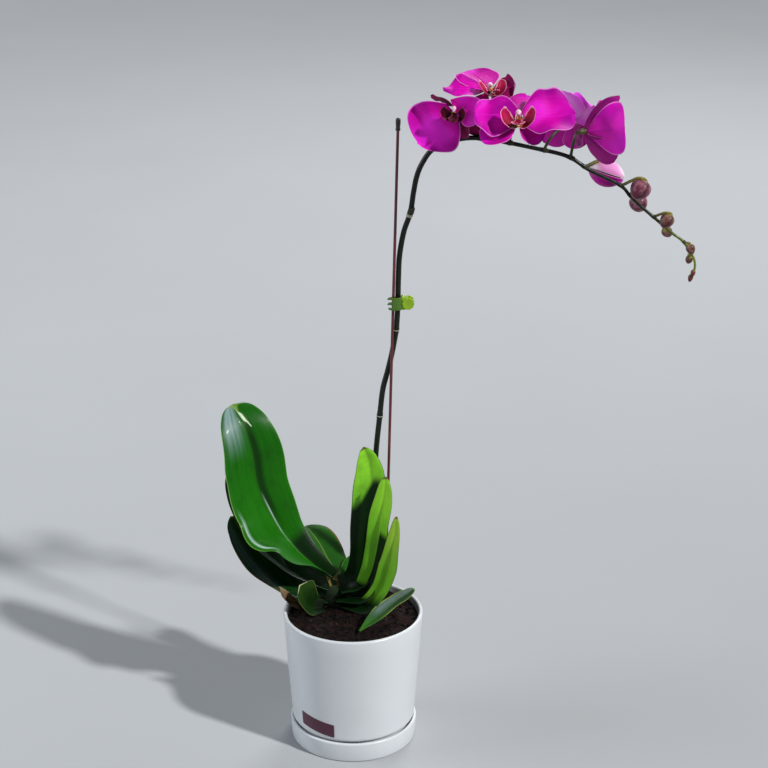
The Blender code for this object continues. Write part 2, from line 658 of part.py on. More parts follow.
def build_stake():
    """The straight wire stake, its cap, and the hole that it makes in the medium."""
    bottom, top = stake_point(STAKE_BOTTOM[2] * MM), stake_point(STAKE_TOP[2] * MM)
    tube("stake", [bottom, top], [STAKE_RADIUS] * 2, 12, "maroon_wire")
    direction = Vector(top - bottom).normalized()
    heights = np.array([CLEARANCE, CLEARANCE + 1 * MM, STAKE_CAP_LENGTH - 1 * MM,
                        STAKE_CAP_LENGTH])
    centres = top + heights[:, None] * np.array(direction)
    tube("stake_cap", centres, STAKE_CAP_RADIUS * np.array([0.8, 1, 1, 0.7]), 12, "black_cap")
    hole = [stake_point((STAKE_BOTTOM[2] - 1) * MM), stake_point(MEDIUM_TOP + 20 * MM)]
    return tube("stake_hole", hole, [STAKE_RADIUS + CLEARANCE] * 2, 12, "peat")


def clip_band(side, start, reach):
    """Plan outline of a strap that curls round stem and stake on one side, between two angles."""
    hinge = np.array(CLIP_HINGE)
    middle = hinge + np.array([-7.6, 0.0])
    angles = np.radians(np.linspace(start, reach, 9))
    radius = np.array([7.4, 5.9])
    centres = middle + radius * np.stack([np.cos(angles), side * np.sin(angles)], axis=1)
    tangent = unit(np.gradient(centres, axis=0))
    normal = np.stack([-tangent[:, 1], tangent[:, 0]], axis=1) * CLIP_JAW_THICKNESS / 2
    return np.vstack([centres + normal, (centres - normal)[::-1]])


def prism(name, outline, low, high, finish_name):
    """A vertical prism over a plan outline; all in millimetres."""
    count = len(outline)
    vertices = [(x * MM, y * MM, z * MM) for z in (low, high) for x, y in outline]
    faces = [tuple(range(count)), tuple(range(count, 2 * count))]
    faces += [(i, (i + 1) % count, count + (i + 1) % count, count + i) for i in range(count)]
    return add_object(name, vertices, faces, finish_name)


def clip_tab(name, side):
    """A round thumb tab with a scalloped edge, standing off to one side of the hinge."""
    hinge = np.array(CLIP_HINGE)
    offset = side * 4.2
    thickness = 1.5
    turns = np.linspace(0, 2 * math.pi, 4 * CLIP_TAB_FLUTES, endpoint=False)
    radius = CLIP_TAB_RADIUS * (1 - 0.05 * (1 - np.cos(CLIP_TAB_FLUTES * turns)) / 2)
    centre_x = hinge[0] + CLIP_TAB_OFFSET
    vertices = [((centre_x + r * math.cos(a)) * MM, (hinge[1] + offset + y) * MM,
                 (CLIP_HEIGHT + r * math.sin(a)) * MM)
                for y in (-thickness / 2, thickness / 2) for r, a in zip(radius, turns)]
    count = len(turns)
    faces = [tuple(range(count)), tuple(range(count, 2 * count))]
    faces += [(i, (i + 1) % count, count + (i + 1) % count, count + i) for i in range(count)]
    return add_object(name, vertices, faces, "lime_plastic")


def clip_knuckle(name, low, high):
    """A short sleeve round the hinge pin between two heights above the clip's middle."""
    bore = CLIP_PIN_RADIUS + 0.35
    profile = [(radius * MM, (CLIP_HEIGHT + z) * MM)
               for radius, z in ((bore, low), (CLIP_KNUCKLE_RADIUS, low),
                                 (CLIP_KNUCKLE_RADIUS, high), (bore, high))]
    return turned(name, profile, "lime_plastic", tuple(v * MM for v in CLIP_HINGE), 12)


def clip_arm(name, side, low, high):
    """The web that joins prongs and thumb tab on one side of the hinge."""
    x, y = CLIP_HINGE
    outline = np.array([(x - 2.4, y + side * 2.5), (x + 2.2, y + side * 2.5),
                        (x + 5.0, y + side * 3.6), (x + 5.0, y + side * 4.8),
                        (x + 0.4, y + side * 4.3), (x - 2.4, y + side * 4.1)])
    return prism(name, outline, CLIP_HEIGHT + low, CLIP_HEIGHT + high, "lime_plastic")


def clip_bridge(name, side, low, high):
    """A short block from the web to the sleeve on the pin."""
    x, y = CLIP_HINGE
    outline = np.array([(x - 1.3, y + side * 1.5), (x + 1.3, y + side * 1.5),
                        (x + 1.3, y + side * 3.0), (x - 1.3, y + side * 3.0)])
    return prism(name, outline, CLIP_HEIGHT + low, CLIP_HEIGHT + high, "lime_plastic")


def build_jaw(name, side, plate_reach, prong_heights, knuckles, reach):
    """One jaw of the clip: plate, prongs, web, sleeves on the pin and a thumb tab, in one solid."""
    half_prong = CLIP_PRONG_HEIGHT / 2
    span = CLIP_PRONG_SPACING + half_prong
    item = clip_arm(name, side, -span, span)
    set_origin(item, (CLIP_HINGE[0] * MM, CLIP_HINGE[1] * MM, CLIP_HEIGHT * MM))
    outline = clip_band(side, 30, plate_reach)
    boolean(item, prism(name + "_plate", outline, CLIP_HEIGHT - span, CLIP_HEIGHT + span,
                        "lime_plastic"), "UNION")
    for index, height in enumerate(prong_heights):
        outline = clip_band(side, plate_reach - 4, reach)
        middle = CLIP_HEIGHT + height
        boolean(item, prism(f"{name}_prong_{index}", outline, middle - half_prong,
                            middle + half_prong, "lime_plastic"), "UNION")
    for index, (low, high) in enumerate(knuckles):
        boolean(item, clip_knuckle(f"{name}_knuckle_{index}", low, high), "UNION")
        boolean(item, clip_bridge(f"{name}_bridge_{index}", side, low, high), "UNION")
    boolean(item, clip_tab(name + "_tab", side), "UNION")


def build_clip():
    """A small sprung claw clip that holds the spike to the stake."""
    pitch = CLIP_PRONG_SPACING
    build_jaw("clip_front_jaw", -1, 112, (-pitch, 0.0, pitch), ((-6.4, -3.2), (3.2, 6.4)), 152)
    build_jaw("clip_rear_jaw", 1, 75, (-pitch / 2, pitch / 2), ((-2.8, 2.8),), 168)
    pin = [(CLIP_HINGE[0] * MM, CLIP_HINGE[1] * MM, (CLIP_HEIGHT + z) * MM)
           for z in (-7.2, 7.2)]
    tube("clip_pin", pin, [CLIP_PIN_RADIUS * MM] * 2, 12, "steel")


def main():
    """Build every part of the plant, its pot and its support."""
    for item in list(bpy.data.objects):
        bpy.data.objects.remove(item)
    build_saucer()
    build_pot()
    crown_hole = build_crown()
    stake_hole = build_stake()
    build_medium(crown_hole, stake_hole)
    build_leaves()
    build_spike()
    build_flowers()
    build_buds()
    build_clip()


main()
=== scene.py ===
"""Dressing of a potted moth orchid: glazed pot, bark mix, leaves, arching spike, blooms and clip.

Every shape is a numpy surface in millimetres, written to the mesh in metres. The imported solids
give the frame that the pieces ride on.
"""
import logging
import math
from dataclasses import dataclass, field, replace
from enum import Enum
from functools import cache
from typing import Any, Sequence

import bpy
import numpy as np
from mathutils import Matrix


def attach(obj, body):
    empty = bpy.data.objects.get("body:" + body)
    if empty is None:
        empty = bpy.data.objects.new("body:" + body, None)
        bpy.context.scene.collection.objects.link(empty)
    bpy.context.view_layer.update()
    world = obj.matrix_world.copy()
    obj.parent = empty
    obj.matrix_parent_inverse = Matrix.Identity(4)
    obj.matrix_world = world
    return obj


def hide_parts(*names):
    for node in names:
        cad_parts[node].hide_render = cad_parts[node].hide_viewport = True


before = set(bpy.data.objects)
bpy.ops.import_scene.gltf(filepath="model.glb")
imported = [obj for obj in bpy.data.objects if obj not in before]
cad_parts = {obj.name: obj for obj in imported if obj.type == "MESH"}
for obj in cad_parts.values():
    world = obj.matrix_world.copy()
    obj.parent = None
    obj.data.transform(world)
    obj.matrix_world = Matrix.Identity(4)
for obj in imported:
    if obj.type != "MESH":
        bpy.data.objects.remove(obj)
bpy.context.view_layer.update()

Array = np.ndarray
Point = tuple[float, float, float]
Colour = tuple[float, float, float]
Socket = Any

MM = 0.001
PLANT = "plant"
CLIP_FRONT = "clip_front"

log = logging.getLogger("orchid")


# ---------- curves and surfaces

def unit(vectors: Array) -> Array:
    """Scale vectors to length one along their last axis."""
    vectors = np.asarray(vectors, float)
    return vectors / np.maximum(np.linalg.norm(vectors, axis=-1, keepdims=True), 1e-12)


def shares(count: int) -> Array:
    """Even shares from 0 to 1."""
    return np.linspace(0, 1, count)


def full_turn(count: int) -> Array:
    """Even angles round a whole circle, in radians."""
    return np.linspace(0, 2 * math.pi, count, endpoint=False)


def smooth_path(points: Sequence[Point], fractions: Array) -> Array:
    """Read a smooth curve through points: a Catmull-Rom spline by share of chord length.

    Args:
        points: the knots that the curve passes through.
        fractions: shares of the length, from 0 to 1.

    Returns:
        One point of the curve for each fraction.
    """
    knots = np.asarray(points, float)
    padded = np.vstack([2 * knots[0] - knots[1], knots, 2 * knots[-1] - knots[-2]])
    steps = np.linalg.norm(np.diff(knots, axis=0), axis=1)
    reach = np.r_[0.0, np.cumsum(steps)] / steps.sum()
    index = np.clip(np.searchsorted(reach, fractions, side="right") - 1, 0, len(knots) - 2)
    u = ((fractions - reach[index]) / (reach[index + 1] - reach[index]))[:, None]
    a, b, c, d = (padded[index + offset] for offset in range(4))
    return 0.5 * (2 * b + (c - a) * u + (2 * a - 5 * b + 4 * c - d) * u * u
                  + (3 * b - a - 3 * c + d) * u ** 3)


def blend(values: Sequence[Any], fractions: Array) -> Array:
    """Ease between evenly spaced values with a smooth step.

    Args:
        values: numbers or vectors, evenly spaced from 0 to 1.
        fractions: where to read them.

    Returns:
        The eased values.
    """
    table = np.asarray(values, float)
    spot = np.clip(fractions, 0, 1) * (len(table) - 1)
    index = np.clip(spot.astype(int), 0, len(table) - 2)
    u = spot - index
    u = u * u * (3 - 2 * u)
    if table.ndim == 2:
        u = u[:, None]
    return table[index] * (1 - u) + table[index + 1] * u


def smooth_step(values: Array, low: float, high: float) -> Array:
    """Rise from 0 at low to 1 at high with level ends."""
    share = np.clip((values - low) / (high - low), 0, 1)
    return share * share * (3 - 2 * share)


def bell(values: Array, centre: float, width: float) -> Array:
    """A smooth bump of height one about centre."""
    return np.exp(-((values - centre) / width) ** 2)


def outline_share(along: Array, base: float, widest: float, tip: float) -> Array:
    """Half width of a leaf or petal as a share of its largest.

    A quarter sine rises from base to one at widest, then the root of one less a power of the
    remaining share rounds the end.

    Args:
        along: shares of the length.
        base: share of the width kept at the foot.
        widest: where the blade is widest.
        tip: how blunt the end is; larger is blunter.

    Returns:
        The share at each station, close to nought at the very end.
    """
    rise = np.sin(math.pi / 2 * np.clip(along / widest, 0, 1))
    fall = np.sqrt(np.maximum(1 - np.clip((along - widest) / (1 - widest), 0, 1) ** tip, 0))
    return (base + (1 - base) * rise) * np.maximum(fall, 0.02)


def lattice_noise(x: Array, y: Array, cell: float, seed: int) -> Array:
    """Smooth random heights: random values on a square lattice, eased between its corners.

    Args:
        x: first coordinate.
        y: second coordinate.
        cell: side of a lattice square.
        seed: picks the random values.

    Returns:
        Heights from -1 to 1, in the shape of x.
    """
    table = np.random.default_rng(seed).uniform(-1, 1, (64, 64))
    u, v = np.asarray(x, float) / cell + 31.3, np.asarray(y, float) / cell + 27.7
    i, j = np.floor(u).astype(int), np.floor(v).astype(int)
    u, v = u - i, v - j
    u, v = u * u * (3 - 2 * u), v * v * (3 - 2 * v)
    i, j, i1, j1 = i % 64, j % 64, (i + 1) % 64, (j + 1) % 64
    return ((table[i, j] * (1 - u) + table[i1, j] * u) * (1 - v)
            + (table[i, j1] * (1 - u) + table[i1, j1] * u) * v)


@dataclass
class Shell:
    """A closed skin: points in millimetres, its faces, and a surface coordinate per point."""

    points: Array
    faces: list[Array]
    place: Array

    def outward(self) -> "Shell":
        """Turn every face round if the skin encloses a negative volume.

        Returns:
            The shell itself.
        """
        volume = 0.0
        for faces in self.faces:
            first = self.points[faces[:, 0]]
            for k in range(1, faces.shape[1] - 1):
                second, third = self.points[faces[:, k]], self.points[faces[:, k + 1]]
                volume += float(np.sum(first * np.cross(second, third)))
        if volume < 0:
            self.faces = [faces[:, ::-1] for faces in self.faces]
        return self


def grid_quads(rows: int, columns: int, wrap_rows: bool = False) -> Array:
    """Quads between rows of a grid whose columns close into rings.

    Args:
        rows: number of rings.
        columns: points in each ring.
        wrap_rows: whether the last ring joins the first.

    Returns:
        Corner numbers, four to a face.
    """
    i = np.arange(rows if wrap_rows else rows - 1)[:, None]
    j = np.arange(columns)[None, :]
    after_i, after_j = (i + 1) % rows, (j + 1) % columns
    return np.stack([i * columns + j, i * columns + after_j, after_i * columns + after_j,
                     after_i * columns + j], axis=-1).reshape(-1, 4)


def ring_shell(rings: Array, place: Array | None = None) -> Shell:
    """Close a stack of rings with a pole at each end.

    Args:
        rings: points, rows by columns by three.
        place: surface coordinates of the same shape; nought everywhere when left out.

    Returns:
        The closed skin, facing out.
    """
    rows, columns = rings.shape[:2]
    j = np.arange(columns)
    after, end_row, pole = (j + 1) % columns, (rows - 1) * columns, rows * columns
    start = np.stack([np.full(columns, pole), after, j], axis=1)
    end = np.stack([np.full(columns, pole + 1), end_row + j, end_row + after], axis=1)
    grids = (rings, np.zeros_like(rings) if place is None else place)
    points, place = (np.vstack([grid.reshape(-1, 3), grid[0].mean(axis=0), grid[-1].mean(axis=0)])
                     for grid in grids)
    return Shell(points, [grid_quads(rows, columns), np.vstack([start, end])], place).outward()


def ring_place(turns: Array, rows: int) -> Array:
    """Surface coordinate of a stack of rings: the turn, the share along the stack and nought."""
    return np.stack(np.broadcast_arrays(turns / (2 * math.pi), shares(rows)[:, None], 0.0), axis=-1)


def lay(centres: Array, *moves: tuple[Array, Array]) -> Array:
    """Spread points about centres: each centre plus offsets times directions.

    Args:
        centres: one point for each row.
        *moves: pairs of offsets, rows by columns, and directions, one for each row.

    Returns:
        Points, rows by columns by three.
    """
    points = centres[:, None]
    for offsets, directions in moves:
        points = points + offsets[..., None] * directions[:, None]
    return points


def turned_shell(profile: Sequence[tuple[float, float]], segments: int, closed_loop: bool) -> Shell:
    """Turn a profile about the upright axis: each of its points becomes a level circle.

    Args:
        profile: radius and height pairs.
        segments: points in each circle.
        closed_loop: whether the profile's end joins its start, away from the axis.

    Returns:
        The closed skin; place holds the turn, the share along the profile and nought.
    """
    turns = full_turn(segments)
    radius, height = np.split(np.asarray(profile, float), 2, axis=1)
    rings = np.stack(np.broadcast_arrays(radius * np.cos(turns), radius * np.sin(turns), height), axis=-1)
    place = ring_place(turns, len(profile))
    if not closed_loop:
        return ring_shell(rings, place)
    return Shell(rings.reshape(-1, 3), [grid_quads(len(profile), segments, True)],
                 place.reshape(-1, 3)).outward()


def tube_shell(centres: Array, radii: Array, sides: int, ridges: Array | None = None) -> Shell:
    """Carry a circle along a path, turned as little as the path allows.

    Args:
        centres: points of the path.
        radii: radius at each of them.
        sides: points in each circle.
        ridges: optional factor on the radius, one for each side.

    Returns:
        The closed skin; place holds the turn, the share of the length and nought.
    """
    tangents = unit(np.gradient(centres, axis=0))
    across = np.empty_like(centres)
    across[0] = unit(np.cross(tangents[0], (0.31, -0.9, 0.2)))
    for k in range(1, len(centres)):
        across[k] = unit(across[k - 1] - np.dot(across[k - 1], tangents[k]) * tangents[k])
    turns = full_turn(sides)
    reach = radii[:, None] * (np.ones(sides) if ridges is None else ridges)
    rings = lay(centres, (reach * np.cos(turns), across),
                (reach * np.sin(turns), np.cross(tangents, across)))
    return ring_shell(rings, ring_place(turns, len(centres)))


def ribbon_frame(spine: Sequence[Point], face: Sequence[Point],
                 along: Array) -> tuple[Array, Array, Array, Array]:
    """Where a ribbon runs and how it lies: its face is squared up to the way it runs.

    Args:
        spine: knots of its middle line.
        face: the way its upper side looks, evenly spaced along it.
        along: shares of its length.

    Returns:
        Its centres, tangents, sideways directions and face directions.
    """
    centre = smooth_path(spine, along)
    tangent = unit(np.gradient(centre, axis=0))
    normal = blend(face, along)
    normal = unit(normal - np.sum(normal * tangent, axis=1, keepdims=True) * tangent)
    return centre, tangent, np.cross(tangent, normal), normal


def blade_shell(middle: Array, across: Array, thickness: Array | float) -> Shell:
    """Give a sheet a lens-shaped thickness that thins to its margins.

    The upper and lower skins stand off the middle surface along its normal by half the
    thickness times the root of one less the fourth power of the share across.

    Args:
        middle: points of the middle surface, rows by columns by three.
        across: share across for each column, from -1 to 1.
        thickness: full thickness, one value or one per row.

    Returns:
        The closed skin; place holds the share across, the share along and 1 underneath.
    """
    normal = unit(np.cross(np.gradient(middle, axis=0), np.gradient(middle, axis=1)))
    lens = np.sqrt(np.maximum(1 - across ** 4, 0)) / 2
    half = (np.asarray(thickness, float).reshape(-1, 1) * lens)[..., None]
    place = np.zeros_like(middle)
    place[..., 0], place[..., 1] = across, shares(len(middle))[:, None]
    lower, low_place = (grid[:, -2:0:-1] for grid in (middle + half * normal, place + (0, 0, 1.0)))
    return ring_shell(np.concatenate([middle - half * normal, lower], axis=1),
                      np.concatenate([place, low_place], axis=1))


def even_across(columns: int) -> Array:
    """Shares across from -1 to 1, closer together towards the margins."""
    return np.sin(np.linspace(-math.pi / 2, math.pi / 2, columns) * 0.92) / math.sin(0.92 * math.pi / 2)


def egg_rings(centre: Point, axis: Point, length: float, width: float, taper: float,
              rows: int = 28, sides: int = 36, creases: float = 0.0) -> Shell:
    """An egg: circles along an axis whose radius follows a sine, fuller towards the foot.

    Args:
        centre: middle of the egg.
        axis: the way its narrow end points.
        length: length over all.
        width: largest width.
        taper: how much fuller the foot is than the tip.
        rows: number of circles.
        sides: points in each circle.
        creases: depth of three lengthwise creases, as a share of the radius.

    Returns:
        The closed skin.
    """
    turn = np.linspace(0.02, 0.98, rows) * math.pi
    station = -np.cos(turn) / 2
    radius = np.sin(turn) * (1 - taper * station) * width / 2
    crease = 1 - creases * bell(np.mod(3 * full_turn(sides) / (2 * math.pi), 1), 0.5, 0.09)
    centres = np.asarray(centre, float) + (station * length)[:, None] * unit(axis)
    return tube_shell(centres, radius, sides, crease)


# ---------- pieces and shader nodes

@cache
def shared_finish(finish: Any) -> bpy.types.Material:
    """The material of a finish, made once however often it is used."""
    return finish.material()


def link_item(name: str, data: Any, place: Point = (0, 0, 0), turn: Point = (0, 0, 0)) -> bpy.types.Object:
    """Put a mesh, a lamp or a camera into the scene.

    Args:
        name: the object's name.
        data: its mesh, lamp or camera.
        place: where it stands, in metres.
        turn: its turn about each axis, in radians.

    Returns:
        The new object.
    """
    item = bpy.data.objects.new(name, data)
    item.location, item.rotation_euler = place, turn
    bpy.context.scene.collection.objects.link(item)
    return item


def add_piece(name: str, shells: Sequence[Shell], finish: Any,
              nodes: Sequence[str] = (), body: str = PLANT, sharp: float = 50.0) -> None:
    """Write shells into one mesh object and hang it on its body.

    Args:
        name: the object's name.
        shells: closed skins in millimetres.
        finish: any of the finishes below.
        nodes: the solids that it stands for.
        body: the rigid body that it rides on.
        sharp: edges that turn by more than this many degrees stay crisp.
    """
    faces, offset = [], 0
    for shell in shells:
        for block in shell.faces:
            faces += (block + offset).tolist()
        offset += len(shell.points)
    mesh = bpy.data.meshes.new(name)
    mesh.from_pydata((np.vstack([shell.points for shell in shells]) * MM).tolist(), [], faces)
    attribute = mesh.attributes.new("place", "FLOAT_VECTOR", "POINT")
    attribute.data.foreach_set(
        "vector", np.vstack([shell.place for shell in shells]).astype(np.float32).ravel())
    mesh.shade_smooth()
    mesh.set_sharp_from_angle(angle=math.radians(sharp))
    mesh.materials.append(shared_finish(finish))
    item = link_item(name, mesh)
    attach(item, body)
    if nodes:
        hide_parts(*nodes)
    log.info("%s: %d faces", name, len(faces))


class Signal:
    """The number or colour that a shader node gives out. Arithmetic on it adds nodes."""

    def __init__(self, recipe: "Recipe", socket: Socket) -> None:
        """Keep the recipe and the node's output."""
        self.recipe, self.socket = recipe, socket

    def __add__(self, other: Any) -> "Signal":
        """This plus other."""
        return self.recipe.math("ADD", self, other)

    def __sub__(self, other: Any) -> "Signal":
        """This less other."""
        return self.recipe.math("SUBTRACT", self, other)

    def __mul__(self, other: Any) -> "Signal":
        """This times other."""
        return self.recipe.math("MULTIPLY", self, other)

    def __abs__(self) -> "Signal":
        """This without its sign."""
        return self.recipe.math("ABSOLUTE", self)

    def fit(self, low: float, high: float, first: float = 0.0, last: float = 1.0) -> "Signal":
        """Ease from first where this is low to last where it is high."""
        feeds = {"Value": self, "From Min": low, "From Max": high, "To Min": first, "To Max": last}
        return self.recipe.node("MapRange", feeds, "Result", interpolation_type="SMOOTHSTEP")

    def lines(self, count: float, wobble: "Signal") -> "Signal":
        """Fine lines, 1 on a line and 0 between, at even steps of this."""
        swing = self * (count * math.pi) + wobble
        return self.recipe.math("POWER", abs(self.recipe.math("COSINE", swing)), 6.0)


class Recipe:
    """A material under construction: a shader, and the colour painted so far."""

    def __init__(self, name: str, ground: Colour) -> None:
        """Start a material with a plain Principled shader.

        Args:
            name: the material's name.
            ground: the colour that the others are painted on.
        """
        self.material = bpy.data.materials.new(name)
        self.material.use_nodes = True
        self.tree = self.material.node_tree
        self.shader = self.tree.nodes["Principled BSDF"]
        self.colour: Any = ground

    def feed(self, socket: Socket, value: Any) -> None:
        """Link a signal, or set a constant, on an input.

        Args:
            socket: the input.
            value: a signal, a number, a colour or a vector.
        """
        if isinstance(value, Signal):
            self.tree.links.new(value.socket, socket)
        else:
            socket.default_value = (*value, 1.0) if socket.type == "RGBA" else value

    def node(self, kind: str, feeds: dict[Any, Any], output: Any = 0, **settings: Any) -> Signal:
        """Add a shader node.

        Args:
            kind: its type, without the usual prefix.
            feeds: signals or constants for its inputs, by name or number.
            output: name or number of the output that is wanted.
            **settings: its properties.

        Returns:
            That output.
        """
        node = self.tree.nodes.new("ShaderNode" + kind)
        for key, value in settings.items():
            setattr(node, key, value)
        for key, value in feeds.items():
            self.feed(node.inputs[key], value)
        return Signal(self, node.outputs[output])

    def place(self) -> tuple[Signal, ...]:
        """The piece's own surface coordinate.

        Returns:
            Share across or turn, share along, and 1 on the underside.
        """
        source = self.node("Attribute", {}, "Vector", attribute_name="place")
        split = self.node("SeparateXYZ", {0: source}).socket.node
        return tuple(Signal(self, output) for output in split.outputs)

    def math(self, operation: str, first: Any, second: Any = 0.0, clamp: bool = False) -> Signal:
        """Arithmetic on one or two numbers."""
        return self.node("Math", {0: first, 1: second}, operation=operation, use_clamp=clamp)

    def mix(self, share: Any, first: Any, second: Any) -> Signal:
        """Mix two colours."""
        return self.node("Mix", {0: share, 6: first, 7: second}, 2, data_type="RGBA")

    def paint(self, share: Any, colour: Any) -> None:
        """Lay a colour over what is painted so far, by a share."""
        self.colour = self.mix(share, self.colour, colour)

    def noise(self, scale: float, detail: float = 3.0, stretch: Point = (1.0, 1.0, 1.0),
              places: Sequence[Signal] = ()) -> Signal:
        """Cloudy noise.

        Args:
            scale: clouds to a metre, or to a unit of places.
            detail: number of finer layers.
            stretch: factor on each coordinate.
            places: signals to spread it over in place of object coordinates.

        Returns:
            The noise, from 0 to 1.
        """
        vector = (self.node("CombineXYZ", dict(enumerate(places))) if places
                  else self.node("TexCoord", {}, "Object"))
        vector = self.node("Mapping", {"Scale": stretch, "Vector": vector})
        return self.node("TexNoise", {"Scale": scale, "Detail": detail, "Vector": vector}, "Fac")

    def bump(self, height: Signal, depth: float, strength: float) -> None:
        """Raise the surface by a height from 0 to 1 times depth in metres."""
        feeds = {"Strength": strength, "Distance": depth, "Height": height}
        self.feed(self.shader.inputs["Normal"], self.node("Bump", feeds, "Normal"))

    def done(self, roughness: Any, **constants: float) -> bpy.types.Material:
        """Feed the shader and hand the material over.

        Args:
            roughness: a signal or a constant.
            **constants: other inputs of the shader, by name with underscores for spaces.

        Returns:
            The finished material.
        """
        for key, value in {"Base_Color": self.colour, "Roughness": roughness, **constants}.items():
            self.feed(self.shader.inputs[key.replace("_", " ")], value)
        return self.material


# ---------- finishes

@dataclass(frozen=True)
class GlazeFinish:
    """White glaze: faint pooling, a hair of orange peel and a clear coat."""

    name: str = "white_glaze_finish"
    white: Colour = (0.64, 0.665, 0.685)
    pooled: Colour = (0.58, 0.605, 0.63)

    def material(self) -> bpy.types.Material:
        """Build the glaze.

        Returns:
            The finished material.
        """
        recipe = Recipe(self.name, self.white)
        cloud = recipe.noise(14.0, 2.0)
        recipe.paint(cloud.fit(0.35, 0.75, 0.0, 0.35), self.pooled)
        recipe.bump(cloud, 0.0008, 0.2)
        return recipe.done(cloud.fit(0.3, 0.7, 0.3, 0.36), Coat_Weight=0.2, Coat_Roughness=0.2,
                           Specular_IOR_Level=0.4)


@dataclass(frozen=True)
class BarkFinish:
    """Damp bark and peat: dark browns that differ from crumb to crumb."""

    name: str = "bark_mix_finish"
    dark: Colour = (0.001, 0.0007, 0.0007)
    brown: Colour = (0.012, 0.0042, 0.003)
    pale: Colour = (0.19, 0.09, 0.06)

    def material(self) -> bpy.types.Material:
        """Build the bark.

        Returns:
            The finished material.
        """
        recipe = Recipe(self.name, self.dark)
        coarse, fine = recipe.noise(170.0, 4.0), recipe.noise(900.0)
        recipe.paint(coarse.fit(0.35, 0.62), self.brown)
        recipe.paint(fine.fit(0.6, 0.74) * coarse.fit(0.5, 0.66), self.pale)
        recipe.bump(coarse + fine * 0.5, 0.0012, 0.8)
        return recipe.done(fine.fit(0.3, 0.7, 0.75, 0.95), Specular_IOR_Level=0.15)


@dataclass(frozen=True)
class LeafFinish:
    """Waxy leaf: lengthwise veins, a midrib, a thin margin and a colour that runs base to tip.

    A pale painted sheen, reflected light painted on, lies over the left half towards the tip, from a set
    share on.
    """

    name: str
    # base, laid low on the leaf: painted shade and cast shadow on most green leaves, real gold or brown on
    # others.
    base: Colour = (0.002, 0.018, 0.001)
    middle: Colour = (0.004, 0.095, 0.001)
    tip: Colour = (0.008, 0.14, 0.003)
    side: Colour = (0.004, 0.055, 0.004)
    side_share: float = 0.3
    margin: Colour = (0.16, 0.28, 0.05)
    margin_width: float = 0.035
    under: Colour = (0.012, 0.09, 0.005)
    # rib colours the midrib line: the dark default is painted shade in the groove, pale ones are its own
    # colour.
    rib: Colour = (0.002, 0.018, 0.001)
    vein: Colour = (0.016, 0.17, 0.004)
    vein_share: float = 0.22
    vein_count: float = 26.0
    # bloom is the colour of a painted sheen; the two fields after it set its share and where it starts.
    bloom: Colour = (0.3, 0.42, 0.38)
    painted_sheen_share: float = 0.0
    painted_sheen_from: float = 0.55
    end: Colour = (0.16, 0.28, 0.05)
    # Next five fields: where base gives way, slanted across the leaf; on green leaves a painted shadow
    # edge.
    base_and_shadow_from: float = 0.06
    base_and_shadow_to: float = 0.42
    lean: float = 0.0
    shadow_slant_from: float = -1.0
    shadow_slant_to: float = 1.0
    tear: float = 0.0
    torn: Colour = (0.62, 0.74, 0.5)
    # The next two fields give painted highlights: pale streaks by the midrib and the left margin.
    painted_highlight: Colour = (0.5, 0.66, 0.6)
    painted_highlight_share: float = 0.0
    # The next field darkens a band beside the midrib with the base colour: painted shade in the groove.
    groove_shade: float = 0.0
    gloss: float = 0.32
    coat: float = 0.16

    def material(self) -> bpy.types.Material:
        """Build the leaf's skin, one coat of colour over the other.

        Returns:
            The finished material.
        """
        recipe = Recipe(self.name, self.middle)
        paint = recipe.paint
        across, along, under = places = recipe.place()
        wide, cloud = abs(across), recipe.noise(55.0, 4.0)
        streak = recipe.noise(1.0, 3.0, (9.0, 1.6, 1.0), places)
        paint(along.fit(0.5, 0.95), self.tip)
        # One half takes the side colour; on the small front leaf its bluish grey is painted sheen.
        paint(across.fit(-0.15, -0.7, 0.0, self.side_share), self.side)
        veins = across.lines(self.vein_count, cloud * 1.4)
        paint(veins * streak.fit(0.3, 0.7, 0.2, 1.0) * self.vein_share, self.vein)
        paint(cloud.fit(0.45, 0.8, 0.0, 0.35), self.side)
        # Painted sheen: pale reflected light painted over the left half towards the tip.
        bloom = across.fit(0.05, -0.55) * along.fit(self.painted_sheen_from, self.painted_sheen_from + 0.2)
        bloom = bloom * streak.fit(0.3, 0.65, 0.55, 1.0) * wide.fit(0.98, 0.7)
        paint(bloom * self.painted_sheen_share, self.bloom)
        # The midrib line; where its colour is dark it is painted shade in the groove.
        paint(wide.fit(0.045, 0.0, 0.0, 0.55), self.rib)
        paint(under * 0.8, self.under)
        # Painted shade and painted cast shadow: the base colour below an edge that slants across the leaf.
        dark = along - across.fit(self.shadow_slant_from, self.shadow_slant_to, 0.0, self.lean)
        recipe.colour = recipe.mix(dark.fit(self.base_and_shadow_from, self.base_and_shadow_to), self.base, recipe.colour)
        # Painted shade in the groove beside the midrib.
        groove_shade = abs(across - 0.14).fit(0.22, 0.04) * along.fit(0.3, 0.5) * along.fit(0.97, 0.8)
        paint(groove_shade * self.groove_shade, self.base)
        # Painted highlights: two pale streaks, beside the midrib and along the left margin.
        for place, reach in ((0.06, 0.05), (-0.86, 0.06)):
            highlight_band = abs(across - place).fit(reach, 0.0) * along.fit(0.26, 0.36) * along.fit(0.56, 0.44)
            paint(highlight_band * streak.fit(0.35, 0.55, 0.15, 1.0) * self.painted_highlight_share, self.painted_highlight)
        edge = wide.fit(1.0 - self.margin_width * 1.6, 1.0 - self.margin_width * 0.4)
        paint(edge * along.fit(0.2, 0.5), self.margin)
        split = abs(across + (along - 0.87) * 2.2 - 0.26) - along.fit(0.87, 1.0, 0.0, 0.07)
        paint(split.fit(0.03, 0.01) * along.fit(0.86, 0.87) * self.tear, self.torn)
        paint(along.fit(0.975, 0.995), self.end)
        recipe.bump(veins * 0.35 + streak, 0.0004, 0.35)
        return recipe.done(streak.fit(0.25, 0.75, self.gloss - 0.05, self.gloss + 0.1),
                           Coat_Weight=self.coat, Coat_Roughness=0.13, Specular_IOR_Level=0.13)


